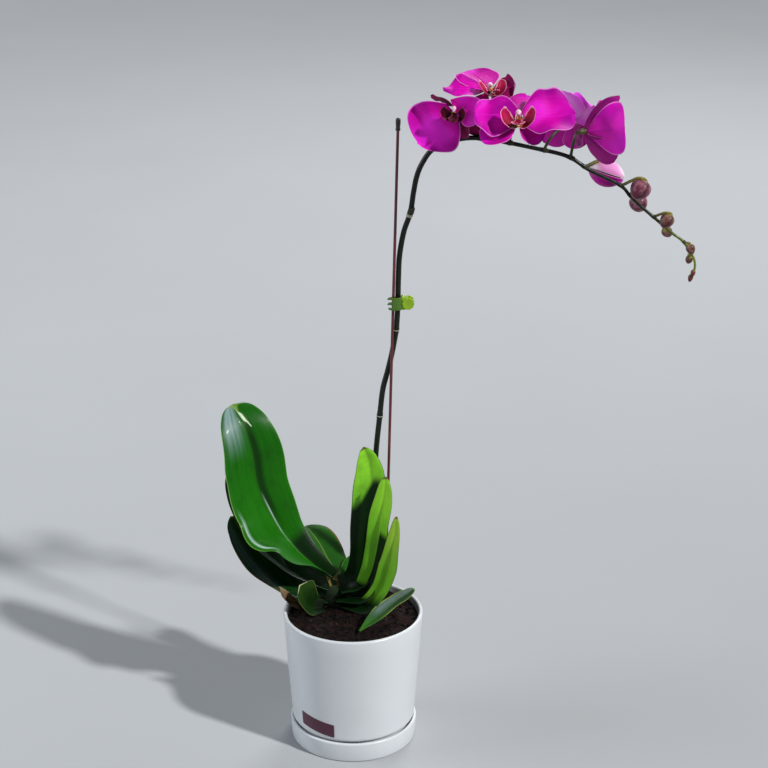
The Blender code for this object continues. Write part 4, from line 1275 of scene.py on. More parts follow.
@dataclass
class Flower:
    """One open flower about its centre. azimuth, elevation and roll turn it, in degrees."""

    number: int
    centre: Point
    azimuth: float
    elevation: float
    roll: float
    tepals: dict[Part, Tepal]
    petal_finish: PetalFinish
    sepal_finish: PetalFinish
    lip_scale: float = 1.0
    lip_finish: LipFinish = field(default_factory=LipFinish)
    own_finish: dict[Part, PetalFinish] = field(default_factory=dict)
    hub: float = 3.4

    def axes(self) -> tuple[Array, Array, Array]:
        """Right, up and forward, as seen by someone who looks at the flower's face.

        Returns:
            The three unit vectors.
        """
        turn, tilt, roll = (math.radians(v) for v in (self.azimuth, self.elevation, self.roll))
        forward = np.array([math.sin(turn) * math.cos(tilt), -math.cos(turn) * math.cos(tilt),
                            math.sin(tilt)])
        level = unit(np.cross((0, 0, 1), forward))
        upright = np.cross(forward, level)
        up = math.cos(roll) * upright + math.sin(roll) * level
        return np.cross(up, forward), up, forward

    def local(self, points: Any, scale: float = 1.0) -> Array:
        """Points given as right, up, forward from the centre, as places in the frame."""
        return np.asarray(self.centre, float) + scale * (np.asarray(points, float) @ np.stack(self.axes()))

    def tepal_shell(self, part: Part) -> Shell:
        """A petal or sepal: a blade that leaves the hub at a clock angle, leans and bends.

        Both halves fold about the midrib by the crease angle, the margins are cupped forward by
        the square of the share across, and slow sines that grow towards the tip ruffle them and
        make the blade swell. A faint groove marks the midrib.

        Args:
            part: which of the five.

        Returns:
            Its closed skin.
        """
        tepal = self.tepals[part]
        rows, columns, setback, waves, swells = ((60, 45, 0.8, 1.5, 1.0) if part.is_petal
                                                 else (46, 29, -1.2, 0.7, 0.4))
        right, up, forward = self.axes()
        along, across = shares(rows)[:, None], even_across(columns)
        clock = np.radians(tepal.clock + tepal.sweep * (along - 0.35))
        outward = np.cos(clock) * up + np.sin(clock) * right
        lean = np.radians(tepal.lean + tepal.bend * along)
        tangent = np.cos(lean) * outward + np.sin(lean) * forward
        normal = np.cos(lean) * forward - np.sin(lean) * outward
        side = np.cross(tangent, normal)
        steps = (tangent[1:] + tangent[:-1]) / 2 * tepal.length / (rows - 1)
        start = (np.asarray(self.centre, float) + (self.hub + tepal.reach) * outward[0]
                 + setback * forward + tepal.slide * np.cross(outward[0], forward))
        centre = start + np.vstack([np.zeros(3), np.cumsum(steps, axis=0)])
        turn = np.radians(tepal.turn) * np.minimum(1, 0.3 + along)
        low, high = (tepal.width / 2 * outline_share(along, tepal.base, tepal.widest + sign * tepal.skew,
                                                     tepal.tip) for sign in (-1, 1))
        half = low + (high - low) * smooth_step(across, -0.3, 0.3)
        wide, sign, grown = np.abs(across), np.sign(across), smooth_step(along, 0.15, 0.65)
        phase = 1.7 * self.number + 1.3 * list(Part).index(part)
        lobes = 1 + 0.05 * tepal.ruffle * np.sin(8.0 * along + phase + 2.3 * sign) * wide * grown
        reach = half * across * lobes
        wave = (np.sin(6.0 * along + 2.0 * phase + 2.6 * sign)
                + 0.7 * np.sin(13.0 * along + phase - 1.4 * sign))
        ruffle = waves * tepal.ruffle * wave * wide ** 2.2 * grown
        swell = 1.3 * np.sin(7.0 * along + phase) * np.cos(2.4 * across + phase) * grown
        swell = swell * tepal.ruffle * swells
        fold = math.radians(tepal.crease) * (0.35 + 0.65 * grown)
        crest = np.sqrt(reach ** 2 + 4.0) - 2.0
        cup = half * 0.1 * across ** 2 * smooth_step(along, 0.0, 0.4)
        groove = -0.6 * bell(across, 0.0, 0.08) * smooth_step(1 - along, 0.05, 0.6)
        tall = crest * np.sin(fold) + cup + ruffle + swell + groove
        points = lay(centre, (reach * np.cos(fold), np.cos(turn) * side + np.sin(turn) * normal),
                     (tall, np.cos(turn) * normal - np.sin(turn) * side))
        return blade_shell(points, across, 0.9 - 0.45 * along)

    def lip_blade(self, spine: Sequence[Point], face: Sequence[Point], widths: Sequence[float],
                  cup: float, outer: int = 1) -> Shell:
        """One lobe of the lip: a cupped blade along a short curve, in right, up, forward.

        Args:
            spine: points of the lobe's middle line.
            face: the way its upper side looks, evenly spaced along it.
            widths: half widths, evenly spaced along it.
            cup: how far the margins rise, as a share of the half width.
            outer: sign of the share across at its rimmed margin.

        Returns:
            Its closed skin.
        """
        along, across = shares(30), even_across(21)
        centre, _, side, normal = ribbon_frame(spine, face, along)
        half = blend(widths, along)[:, None]
        points = lay(centre, (half * across, side), (half * cup * across ** 2, normal))
        return blade_shell(self.local(points, self.lip_scale), across * outer, 0.7 * self.lip_scale)

    def rod(self, route: Sequence[Point], radii: Array, sides: int) -> Shell:
        """A round rod along a short curve in right, up, forward, with a radius for each station."""
        spine = smooth_path(route, shares(len(radii)))
        return tube_shell(self.local(spine, self.lip_scale), radii * self.lip_scale, sides)

    def lip_shells(self) -> list[Shell]:
        """The lip: an arrow-shaped middle lobe, two raised side lobes and two end tendrils.

        Returns:
            Their closed skins.
        """
        shells = [self.lip_blade(
            ((0, -1.5, 1.5), (0, -5, 5), (0, -9, 9.5), (0, -12, 13), (0, -12.5, 17)),
            ((0, 0.6, 0.8), (0, 0.8, 0.6), (0, 0.95, 0.2), (0, 1, 0)),
            (2.2, 3.0, 3.6, 6.4, 4.2, 0.7), 0.22)]
        for sign in (-1, 1):
            shells.append(self.lip_blade(
                mirrored(sign, (0.8, -9.0, 2.0), (6.0, -9.5, 4.5), (10.5, -5.5, 7.0), (12.5, 0.5, 9.0),
                         (12.0, 6.5, 10.5)),
                mirrored(sign, (-0.1, 0.5, 0.8), (-0.35, 0.35, 0.85), (-0.5, 0.1, 0.85),
                         (-0.5, -0.2, 0.85)),
                (3.0, 6.2, 6.4, 5.4, 1.2), 0.42, -sign))
            shells.append(self.rod(mirrored(sign, (0.8, -12.4, 16.5), (2.0, -11.5, 18.5),
                                            (3.6, -9.5, 18.8), (4.2, -8.0, 17.4)),
                                   0.5 - 0.35 * shares(18), 8))
        return shells

    def heart_shells(self) -> list[Shell]:
        """The two-horned callus between the side lobes."""
        return [self.rod(mirrored(sign, (0.8, -3.6, 4.6), (1.3, -2.6, 6.2), (2.4, -2.4, 8.0)),
                         1.1 - 0.8 * shares(12), 10) for sign in (-1, 1)]

    def column_shells(self) -> list[Shell]:
        """The column: a hooded rod that leans forward, with the rounded cap at its end.

        Returns:
            The rod and its cap.
        """
        along = shares(24)
        radius = 1.9 + 0.7 * bell(along, 0.75, 0.3) - 1.2 * smooth_step(along, 0.85, 1.05)
        rod = self.rod(((0, 0.2, 0.0), (0, 1.6, 2.6), (0, 2.4, 5.6), (0, 1.4, 8.8)), radius, 20)
        axis = self.local((0, -0.8, 1.0)) - np.asarray(self.centre, float)
        return [rod, egg_rings(self.local((0, 0.7, 8.3), self.lip_scale), axis,
                               4.2 * self.lip_scale, 3.8 * self.lip_scale, 0.3)]

    def build(self) -> None:
        """Make and dress the five outer parts, the lip and the column."""
        bloom, flower = f"bloom_{self.number}_", f"flower_{self.number}_"
        for part in Part:
            usual = self.petal_finish if part.is_petal else self.sepal_finish
            add_piece(bloom + part.value, [self.tepal_shell(part)], self.own_finish.get(part, usual),
                      [flower + part.value], sharp=75.0)
        add_piece(bloom + "lip", self.lip_shells(), self.lip_finish, [flower + "lip"],
                  sharp=75.0)
        add_piece(bloom + "callus", self.heart_shells(), CALLUS_GOLD)
        add_piece(bloom + "column", self.column_shells(), COLUMN_PALE)


FRONT_PETAL = PetalFinish("front_petal_finish")
SHADED_SEPAL = PetalFinish("shaded_sepal_finish", throat=(0.12, 0.0, 0.02), middle=(0.2, 0.0, 0.05),
    tip=(0.3, 0.0, 0.12), side=(0.1, 0.0, 0.03), margin=(0.45, 0.05, 0.2), light=(0.26, 0.0, 0.07),
    under=(0.16, 0.0, 0.04))
# Flower 4 is seen from behind: its own pale backs, painted paler still as painted light shining through
# them.
PALE_BACKLIT_PETAL = PetalFinish("pale_backlit_petal_finish", middle=(0.96, 0.08, 0.92), tip=(0.97, 0.24, 0.95),
    under=(0.98, 0.16, 0.96), side=(0.9, 0.03, 0.82), margin=(0.98, 0.7, 0.97), light=(0.98, 0.34, 0.96))
ROSY_PETAL = PetalFinish("rosy_petal_finish", throat=(0.6, 0.003, 0.08), middle=(0.86, 0.004, 0.44),
    tip=(0.84, 0.02, 0.66), under=(0.9, 0.02, 0.62), side=(0.6, 0.001, 0.44), margin=(0.92, 0.35, 0.75))
DUSKY_SEPAL = PetalFinish("dusky_sepal_finish", throat=(0.3, 0.001, 0.06), middle=(0.34, 0.001, 0.16),
    tip=(0.36, 0.004, 0.24), under=(0.36, 0.01, 0.22), side=(0.22, 0.0, 0.14), margin=(0.8, 0.25, 0.6),
    light=(0.44, 0.01, 0.26))
# A dark copy of the lip for flower 1, whose lip sits in shade: painted shade.
SHADED_LIP = LipFinish("shaded_lip_finish", deep=(0.035, 0.0, 0.004), bright=(0.08, 0.0, 0.015),
    heart=(0.12, 0.03, 0.01), rim=(0.3, 0.03, 0.1))
CRIMSON_PETAL = PetalFinish("crimson_petal_finish", throat=(0.45, 0.0, 0.05), middle=(0.42, 0.0, 0.1),
    tip=(0.5, 0.0, 0.22), side=(0.16, 0.0, 0.06), light=(0.8, 0.03, 0.3))
# A lighter copy of the front petal for flower 1's right petal: painted light that lifts it out of shade.
LIT_PETAL = PetalFinish("lit_petal_finish", throat=(0.8, 0.002, 0.3), middle=(0.98, 0.01, 0.66),
    tip=(0.95, 0.01, 0.62), side=(0.78, 0.002, 0.5), light=(0.98, 0.06, 0.82), under=(0.8, 0.02, 0.55))
DEEP_SEPAL = PetalFinish("deep_sepal_finish", throat=(0.48, 0.002, 0.1), middle=(0.58, 0.003, 0.34),
    tip=(0.66, 0.004, 0.52), side=(0.34, 0.0, 0.2), light=(0.74, 0.01, 0.48), under=(0.5, 0.01, 0.32))


@dataclass
class Spray:
    """The five open flowers, in order along the spike."""

    def flowers(self) -> list[Flower]:
        """The flowers with their tepals and finishes.

        Returns:
            The flowers, from the first opened to the last.
        """
        d, ls, rs, lp, rp = Part
        return [
            Flower(1, (96, 4, 647), -15, -12, 0, {
                d: Tepal(-76, -18, 40, 24, 12, -6, sweep=-30), ls: Tepal(172, -8, -24, 30, 24, -2),
                rs: Tepal(137, -18, -16, 37, 30, 4),
                lp: Tepal(227, 7, -3, 45, 56, 4, 1.8, crease=-14, base=0.3, widest=0.5, tip=2.0),
                rp: Tepal(112, 7, 0, 33, 30, 0, 0.6, slide=-6, reach=-10, base=0.04, widest=0.7)},
                FRONT_PETAL, SHADED_SEPAL, 0.75, SHADED_LIP, {rp: LIT_PETAL}),
            Flower(2, (127, 14, 661), 22, 50, 0, {
                d: Tepal(-8, -20, -1, 34, 44, -3, widest=0.5),
                ls: Tepal(226, -34, -6, 24, 18, -10),
                rs: Tepal(140, -34, 6, 22, 18, -10),
                lp: Tepal(291, -10, -14, 39, 28, -14, 1.4, widest=0.5, tip=1.7),
                rp: Tepal(108, 26, -9, 22, 26, 22, 1.0)}, FRONT_PETAL, DEEP_SEPAL, 0.85,
                own_finish={rp: CRIMSON_PETAL}),
            Flower(3, (152, -26, 645), -8, 34, -3, {
                d: Tepal(10, -37, 0, 33, 26, 4), ls: Tepal(239, -6, -18, 36, 31, 2, widest=0.5),
                rs: Tepal(132, -20, 16, 26, 26, 0, sweep=-15),
                lp: Tepal(279, -7, -18, 37, 46, 14, 1.5, crease=-14, base=0.42, widest=0.5),
                rp: Tepal(88, 1, 20, 47, 54, -3, 1.8, crease=10, skew=0.14, base=0.3, widest=0.5,
                          tip=2.2)},
                FRONT_PETAL, DEEP_SEPAL),
            Flower(4, (204, 34, 628), 140, 18, 0, {
                d: Tepal(-20, -12, -4, 38, 30, -6), ls: Tepal(205, -12, 14, 23, 32, 0),
                rs: Tepal(130, -12, 10, 34, 30, 0), lp: Tepal(306, -4, 0, 36, 40, -6),
                rp: Tepal(80, 0, 0, 30, 40, 0)}, PALE_BACKLIT_PETAL, DEEP_SEPAL, 0.9,
                own_finish={d: PALE_BACKLIT_PETAL}),
            Flower(5, (213.7, -14, 630), 112, 8, 0, {
                d: Tepal(-12, 38, -2, 43, 18, 36, tip=1.3), ls: Tepal(206, 28, 18, 36, 32, 10),
                rs: Tepal(114, 4, -6, 34, 22, 8),
                lp: Tepal(279, 34, 12, 38, 47, -4, 0.7, crease=6, base=0.1, widest=0.7, tip=3.2),
                rp: Tepal(72, 50, -8, 38, 36, 4)}, ROSY_PETAL, DUSKY_SEPAL, 0.9),
        ]

    def build(self) -> list[Flower]:
        """Make and dress every flower.

        Returns:
            The flowers, for the stalks that reach them.
        """
        flowers = self.flowers()
        for flower in flowers:
            flower.build()
        return flowers


# ---------- spike and buds

@dataclass(frozen=True)
class Bud:
    """A closed bud: its middle, size, the way its tip points and the foot of its stalk."""

    number: int
    centre: Point
    length: float
    width: float
    direction: Point
    foot: Point


STEM_SKIN = SkinFinish("stem_finish", (0.006, 0.012, 0.005), (0.003, 0.005, 0.003), (0.18, 0.26, 0.02),
    (0.012, 0.02, 0.008), 0.35, middle_at=0.88, gloss=0.26, coat=0.12)
STALK_SKIN = SkinFinish("stalk_finish", (0.02, 0.03, 0.008), (0.03, 0.045, 0.012), (0.08, 0.06, 0.03),
    (0.04, 0.015, 0.012), 0.35)
BUD_STALK_SKIN = SkinFinish("bud_stalk_finish", (0.03, 0.04, 0.008), (0.2, 0.2, 0.02), (0.26, 0.22, 0.04),
    (0.08, 0.04, 0.015), 0.5)
SCALE_SKIN = SkinFinish("scale_finish", (0.015, 0.02, 0.008), (0.02, 0.03, 0.01), (0.05, 0.05, 0.02),
    (0.06, 0.05, 0.03), 0.4, gloss=0.45)
SCAR_SKIN = SkinFinish("scar_finish", (0.4, 0.38, 0.28), (0.5, 0.48, 0.36), (0.4, 0.38, 0.28),
    (0.14, 0.12, 0.06), 0.3, gloss=0.6)
TIP_SKIN = SkinFinish("tip_finish", (0.16, 0.2, 0.04), (0.16, 0.04, 0.03), (0.05, 0.03, 0.02),
    (0.08, 0.01, 0.02), 0.4)
CLOSED_BUD = SkinFinish("closed_bud_finish", (0.24, 0.24, 0.06), (0.17, 0.03, 0.06), (0.13, 0.01, 0.045),
    (0.44, 0.22, 0.26), 0.6, middle_at=0.3, grain=200.0, seam_share=0.75)
SMALL_BUD = SkinFinish("small_bud_finish", (0.26, 0.28, 0.04), (0.15, 0.05, 0.04), (0.11, 0.01, 0.03),
    (0.34, 0.22, 0.16), 0.5, middle_at=0.35, grain=200.0, seam_share=0.75)
# The opening bud's upper sepal: its own pale blush, painted paler as painted light on the top of the bud.
BLUSH_AND_LIT_SEPAL = PetalFinish("blush_and_lit_sepal_finish", throat=(0.34, 0.34, 0.06), middle=(0.8, 0.34, 0.66),
    tip=(0.9, 0.72, 0.84), side=(0.62, 0.16, 0.46), margin=(0.95, 0.85, 0.9), light=(0.92, 0.8, 0.88),
    under=(0.5, 0.1, 0.3))
PURPLE_SEPAL = PetalFinish("purple_sepal_finish", throat=(0.3, 0.28, 0.06), middle=(0.42, 0.005, 0.26),
    tip=(0.6, 0.03, 0.48), side=(0.2, 0.0, 0.13), margin=(0.8, 0.3, 0.6), light=(0.48, 0.01, 0.32),
    under=(0.4, 0.02, 0.2))
BUD_HEART = SkinFinish("bud_heart_finish", (0.12, 0.01, 0.05), (0.16, 0.01, 0.06), (0.4, 0.1, 0.25),
    (0.3, 0.05, 0.15), 0.4)


@dataclass
class Spike:
    """The arching flower stem with its joints, scales, stalks and tip, and the buds on it."""

    route: tuple[Point, ...] = (
        (-14, 31, 146), (-5, 39, 153.5), (9, 43, 166), (18, 46, 193), (21, 46, 237), (23, 45, 287),
        (27, 43, 330), (30, 41.8, 358), (34.6, 41.8, 377), (38.5, 42, 394), (41.4, 41.2, 410),
        (43.2, 39.8, 423), (44.2, 38.2, 440), (44.6, 37.6, 454), (45, 37, 475), (46, 36, 497),
        (50, 35, 521), (56, 33.5, 540), (59, 31, 561), (62, 29, 577), (67, 27, 590),
        (75.5, 25, 602.5), (89.5, 21, 611), (106, 18, 615.5), (122.5, 16, 616), (138, 14, 614),
        (168.5, 12, 608), (200, 10, 600.5), (221, 8, 588), (249, 5, 574.5), (258.5, 4, 565),
        (269, 3, 555), (281, 2, 545), (290.5, 1.5, 537), (300, 1, 529), (309.5, 0, 522),
        (319, 0, 508.5), (322, 0, 500), (321.5, 0, 493), (320, 0, 489))
    radii: tuple[float, ...] = (3.0, 2.9, 2.8, 2.75, 2.7, 2.6, 2.3, 1.9, 1.5, 1.1)
    joints: tuple[float, ...] = (0.1355, 0.2548, 0.3733, 0.527, 0.637, 0.675, 0.71, 0.75, 0.783,
                                 0.803, 0.85, 0.868, 0.905, 0.921, 0.953, 0.967)
    joint_swell: float = 0.16
    joint_reach: float = 0.0035
    scale_gap: float = 0.55
    stalk_radius: float = 1.35
    hub_swell: float = 1.7
    stalks: tuple[tuple[Point, Point], ...] = (
        ((91, 21, 611.5), (93, 23, 630)), ((119, 16.5, 616), (121, 30, 640)),
        ((146, 13.5, 612.5), (150, 6, 628)), ((178, 11.5, 605.5), (186, 16, 618)),
        ((203, 9.8, 599.5), (205, 2, 618)))
    buds: tuple[Bud, ...] = (
        Bud(1, (237.5, 22.5, 581.5), 35, 25, (0.85, 0.1, -0.3), (216.5, 8.5, 590.8)),
        Bud(2, (265.6, -11.5, 574.5), 19.5, 19, (-0.55, -0.2, -0.8), (250, 4.9, 573.8)),
        Bud(3, (268.5, 14.5, 554.5), 18, 17, (0.35, 0.35, -0.85), (257, 4, 566.5)),
        Bud(4, (292, -8.5, 544), 14.5, 13, (-0.55, -0.2, -0.8), (281, 2.0, 545)),
        Bud(5, (296, 10, 528), 11.5, 10, (0.6, 0.3, -0.7), (290.5, 1.5, 537)),
        Bud(6, (316, -7, 516.5), 10.5, 8.5, (0.3, -0.1, -0.9), (310, 0, 521.3)),
        Bud(7, (317.5, 7.5, 502), 9.5, 7, (-0.1, 0.4, -0.85), (319, 0, 508.5)))

    def stem_point(self, share: float) -> tuple[Array, Array, float]:
        """Centre, direction and radius of the stem at a share of its length."""
        near = smooth_path(self.route, np.array([share - 0.002, share, share + 0.002]))
        return near[1], unit(near[2] - near[0]), float(blend(self.radii, np.array([share]))[0])

    def stem(self) -> Shell:
        """The stem: a round bar that swells a little at every joint.

        Returns:
            Its closed skin.
        """
        along = shares(900)
        swell = 1 + self.joint_swell * sum(bell(along, joint, self.joint_reach) for joint in self.joints)
        return tube_shell(smooth_path(self.route, along), blend(self.radii, along) * swell, 18)

    def scale(self, share: float, length: float, lean: float) -> Shell:
        """A pointed scale that hugs the stem above a joint.

        Args:
            share: where its foot stands, by share of the stem's length.
            length: its length.
            lean: how far its point stands away from the stem, in millimetres.

        Returns:
            Its closed skin.
        """
        foot, direction, radius = self.stem_point(share)
        out = unit(np.cross(direction, np.cross((0.5, -0.8, 0.2), direction)))
        along, across = shares(22)[:, None], even_across(17)
        turn = across * 1.5 * (1 - along ** 1.6)
        reach = radius + self.scale_gap + lean * along ** 2
        points = (foot + (along * length)[..., None] * direction
                  + (reach * np.cos(turn))[..., None] * out
                  + (reach * np.sin(turn))[..., None] * np.cross(direction, out))
        return blade_shell(points, across, 0.6)

    def ring(self, share: float, spread: float = 1.0) -> Shell:
        """The thin pale ring where an old scale was attached.

        Args:
            share: where it sits, by share of the stem's length.
            spread: factor on its height.

        Returns:
            Its closed skin.
        """
        centre, direction, radius = self.stem_point(share)
        offsets = np.array([-0.7, -0.35, 0.0, 0.35, 0.7]) * spread
        return tube_shell(centre + offsets[:, None] * direction,
                          radius + np.array([0.1, 0.45, 0.55, 0.45, 0.1]), 18)

    def stalk_shells(self, flowers: Sequence[Flower]) -> list[Shell]:
        """Flower stalks that swell into the hub behind each flower.

        Args:
            flowers: the open flowers that the stalks reach.

        Returns:
            Their closed skins.
        """
        shells, along = [], shares(40)
        for flower, (foot, middle) in zip(flowers, self.stalks):
            forward, hub = flower.axes()[2], np.asarray(flower.centre, float)
            route = smooth_path((foot, middle, hub - 9 * forward, hub - 0.6 * forward), along)
            radius = self.stalk_radius * (1 + 0.35 * bell(along, 0.0, 0.06))
            radius = radius + self.hub_swell * smooth_step(along, 0.8, 0.97)
            shells.append(tube_shell(route, radius, 14))
        return shells

    def bud_stalk_shells(self) -> list[Shell]:
        """The buds' stout stalks, which arch over each bud to its foot.

        Returns:
            Their closed skins.
        """
        shells, along = [], shares(28)
        for bud in self.buds:
            axis, centre = unit(bud.direction), np.asarray(bud.centre, float)
            base = centre - axis * bud.length * 0.43
            arch = centre + np.array((-0.12 * bud.width, 0.0, 0.5 * bud.width + 1.3))
            route = smooth_path((bud.foot, arch, base - 1.2 * axis, base), along)
            radius = (0.85 + 0.032 * bud.width) * (1 + 0.2 * bell(along, 1.0, 0.3))
            shells.append(tube_shell(route, radius, 14))
        return shells

    def tip(self) -> list[Shell]:
        """The growing tip: two small soft buds pressed together."""
        return [egg_rings((318.6, 0, 486.2), (-0.25, 0, -1.0), 8.0, 4.8, 0.5, 14, 16, 0.1),
                egg_rings((320.4, -1.5, 491.5), (-0.2, -0.3, -0.9), 7.0, 4.6, 0.4, 14, 16, 0.1)]

    def opening_bud(self, bud: Bud) -> list[Shell]:
        """The bud that is about to open: three cupped sepals that part over its heart.

        Args:
            bud: its place and size.

        Returns:
            The sepals' closed skins.
        """
        axis = unit(bud.direction)
        side = unit(np.cross(axis, (0, 0, 1)))
        shells, along, across = [], shares(30), even_across(25)
        radius = (np.sin(along * math.pi * 0.94 + 0.06) ** 0.62) * bud.width / 2 - 0.4 + 1.2 * along ** 3
        station = (along - 0.5) * (bud.length - 1.5)
        for third in range(3):
            turn = math.radians(120 * third + 22) + across * math.radians(57)
            out = np.cos(turn)[:, None] * np.cross(side, axis) + np.sin(turn)[:, None] * side
            points = (np.asarray(bud.centre, float) + station[:, None, None] * axis
                      + radius[:, None, None] * out)
            shells.append(blade_shell(points, across, 0.9))
        return shells

    def build(self, flowers: Sequence[Flower]) -> None:
        """Make and dress the stem, its stalks and scales, and the buds.

        Args:
            flowers: the open flowers that the stalks reach.
        """
        scales = [self.scale(0.1355, 16, 0.2), self.scale(0.527, 8, 0.8)]
        scales += [self.scale(joint, 5.6 - 5 * (joint - 0.55), 0.7) for joint in self.joints[4:]]
        rings = [self.ring(0.2548), self.ring(0.3733), self.ring(0.524, 2.6)]
        add_piece("spike_stem", [self.stem()], STEM_SKIN, ["flower_spike"])
        add_piece("flower_stalks", self.stalk_shells(flowers), STALK_SKIN)
        add_piece("bud_stalks", self.bud_stalk_shells(), BUD_STALK_SKIN)
        add_piece("stem_scales", scales, SCALE_SKIN, sharp=70.0)
        add_piece("stem_scars", rings, SCAR_SKIN)
        add_piece("spike_growing_tip", self.tip(), TIP_SKIN)
        first, *closed = self.buds
        for bud in closed:
            egg = egg_rings(bud.centre, bud.direction, bud.length, bud.width, 0.35, creases=0.07)
            add_piece(f"closed_bud_{bud.number}", [egg], CLOSED_BUD if bud.number < 4 else SMALL_BUD,
                      [f"bud_{bud.number}"])
        upper, *lower = self.opening_bud(first)
        add_piece("opening_bud_upper_sepal", [upper], BLUSH_AND_LIT_SEPAL, ["bud_1"], sharp=75.0)
        add_piece("opening_bud_lower_sepals", lower, PURPLE_SEPAL, sharp=75.0)
        core = egg_rings(first.centre, first.direction, first.length - 4, first.width - 4, 0.1)
        add_piece("opening_bud_heart", [core], BUD_HEART)


# ---------- stake and clip

COATED_WIRE = PlasticFinish("coated_wire_finish", (0.105, 0.014, 0.018), (0.16, 0.03, 0.03), 0.35)
SOFT_CAP = PlasticFinish("cap_finish", (0.014, 0.013, 0.014), (0.03, 0.028, 0.03), 0.5)
LIME_CLIP = PlasticFinish("lime_clip_finish", (0.26, 0.44, 0.008), (0.42, 0.56, 0.03), 0.28)
SHADED_CLIP = PlasticFinish("shaded_clip_finish", (0.06, 0.15, 0.01), (0.12, 0.24, 0.02), 0.35)
STEEL = PlasticFinish("steel_finish", (0.55, 0.55, 0.56), (0.4, 0.4, 0.42), 0.25, 1.0)


@dataclass(frozen=True)
class Jaw:
    """One jaw of the clip; side is -1 in front of the stem and 1 behind it.

    A plate reaches round to plate_end degrees, prongs at some heights run on over a span of
    degrees, and sleeves between pairs of heights hold it on the pin.
    """

    name: str
    side: int
    body: str
    plate_end: float
    prongs: tuple[float, ...]
    span: tuple[float, float]
    sleeves: tuple[tuple[float, float], ...]


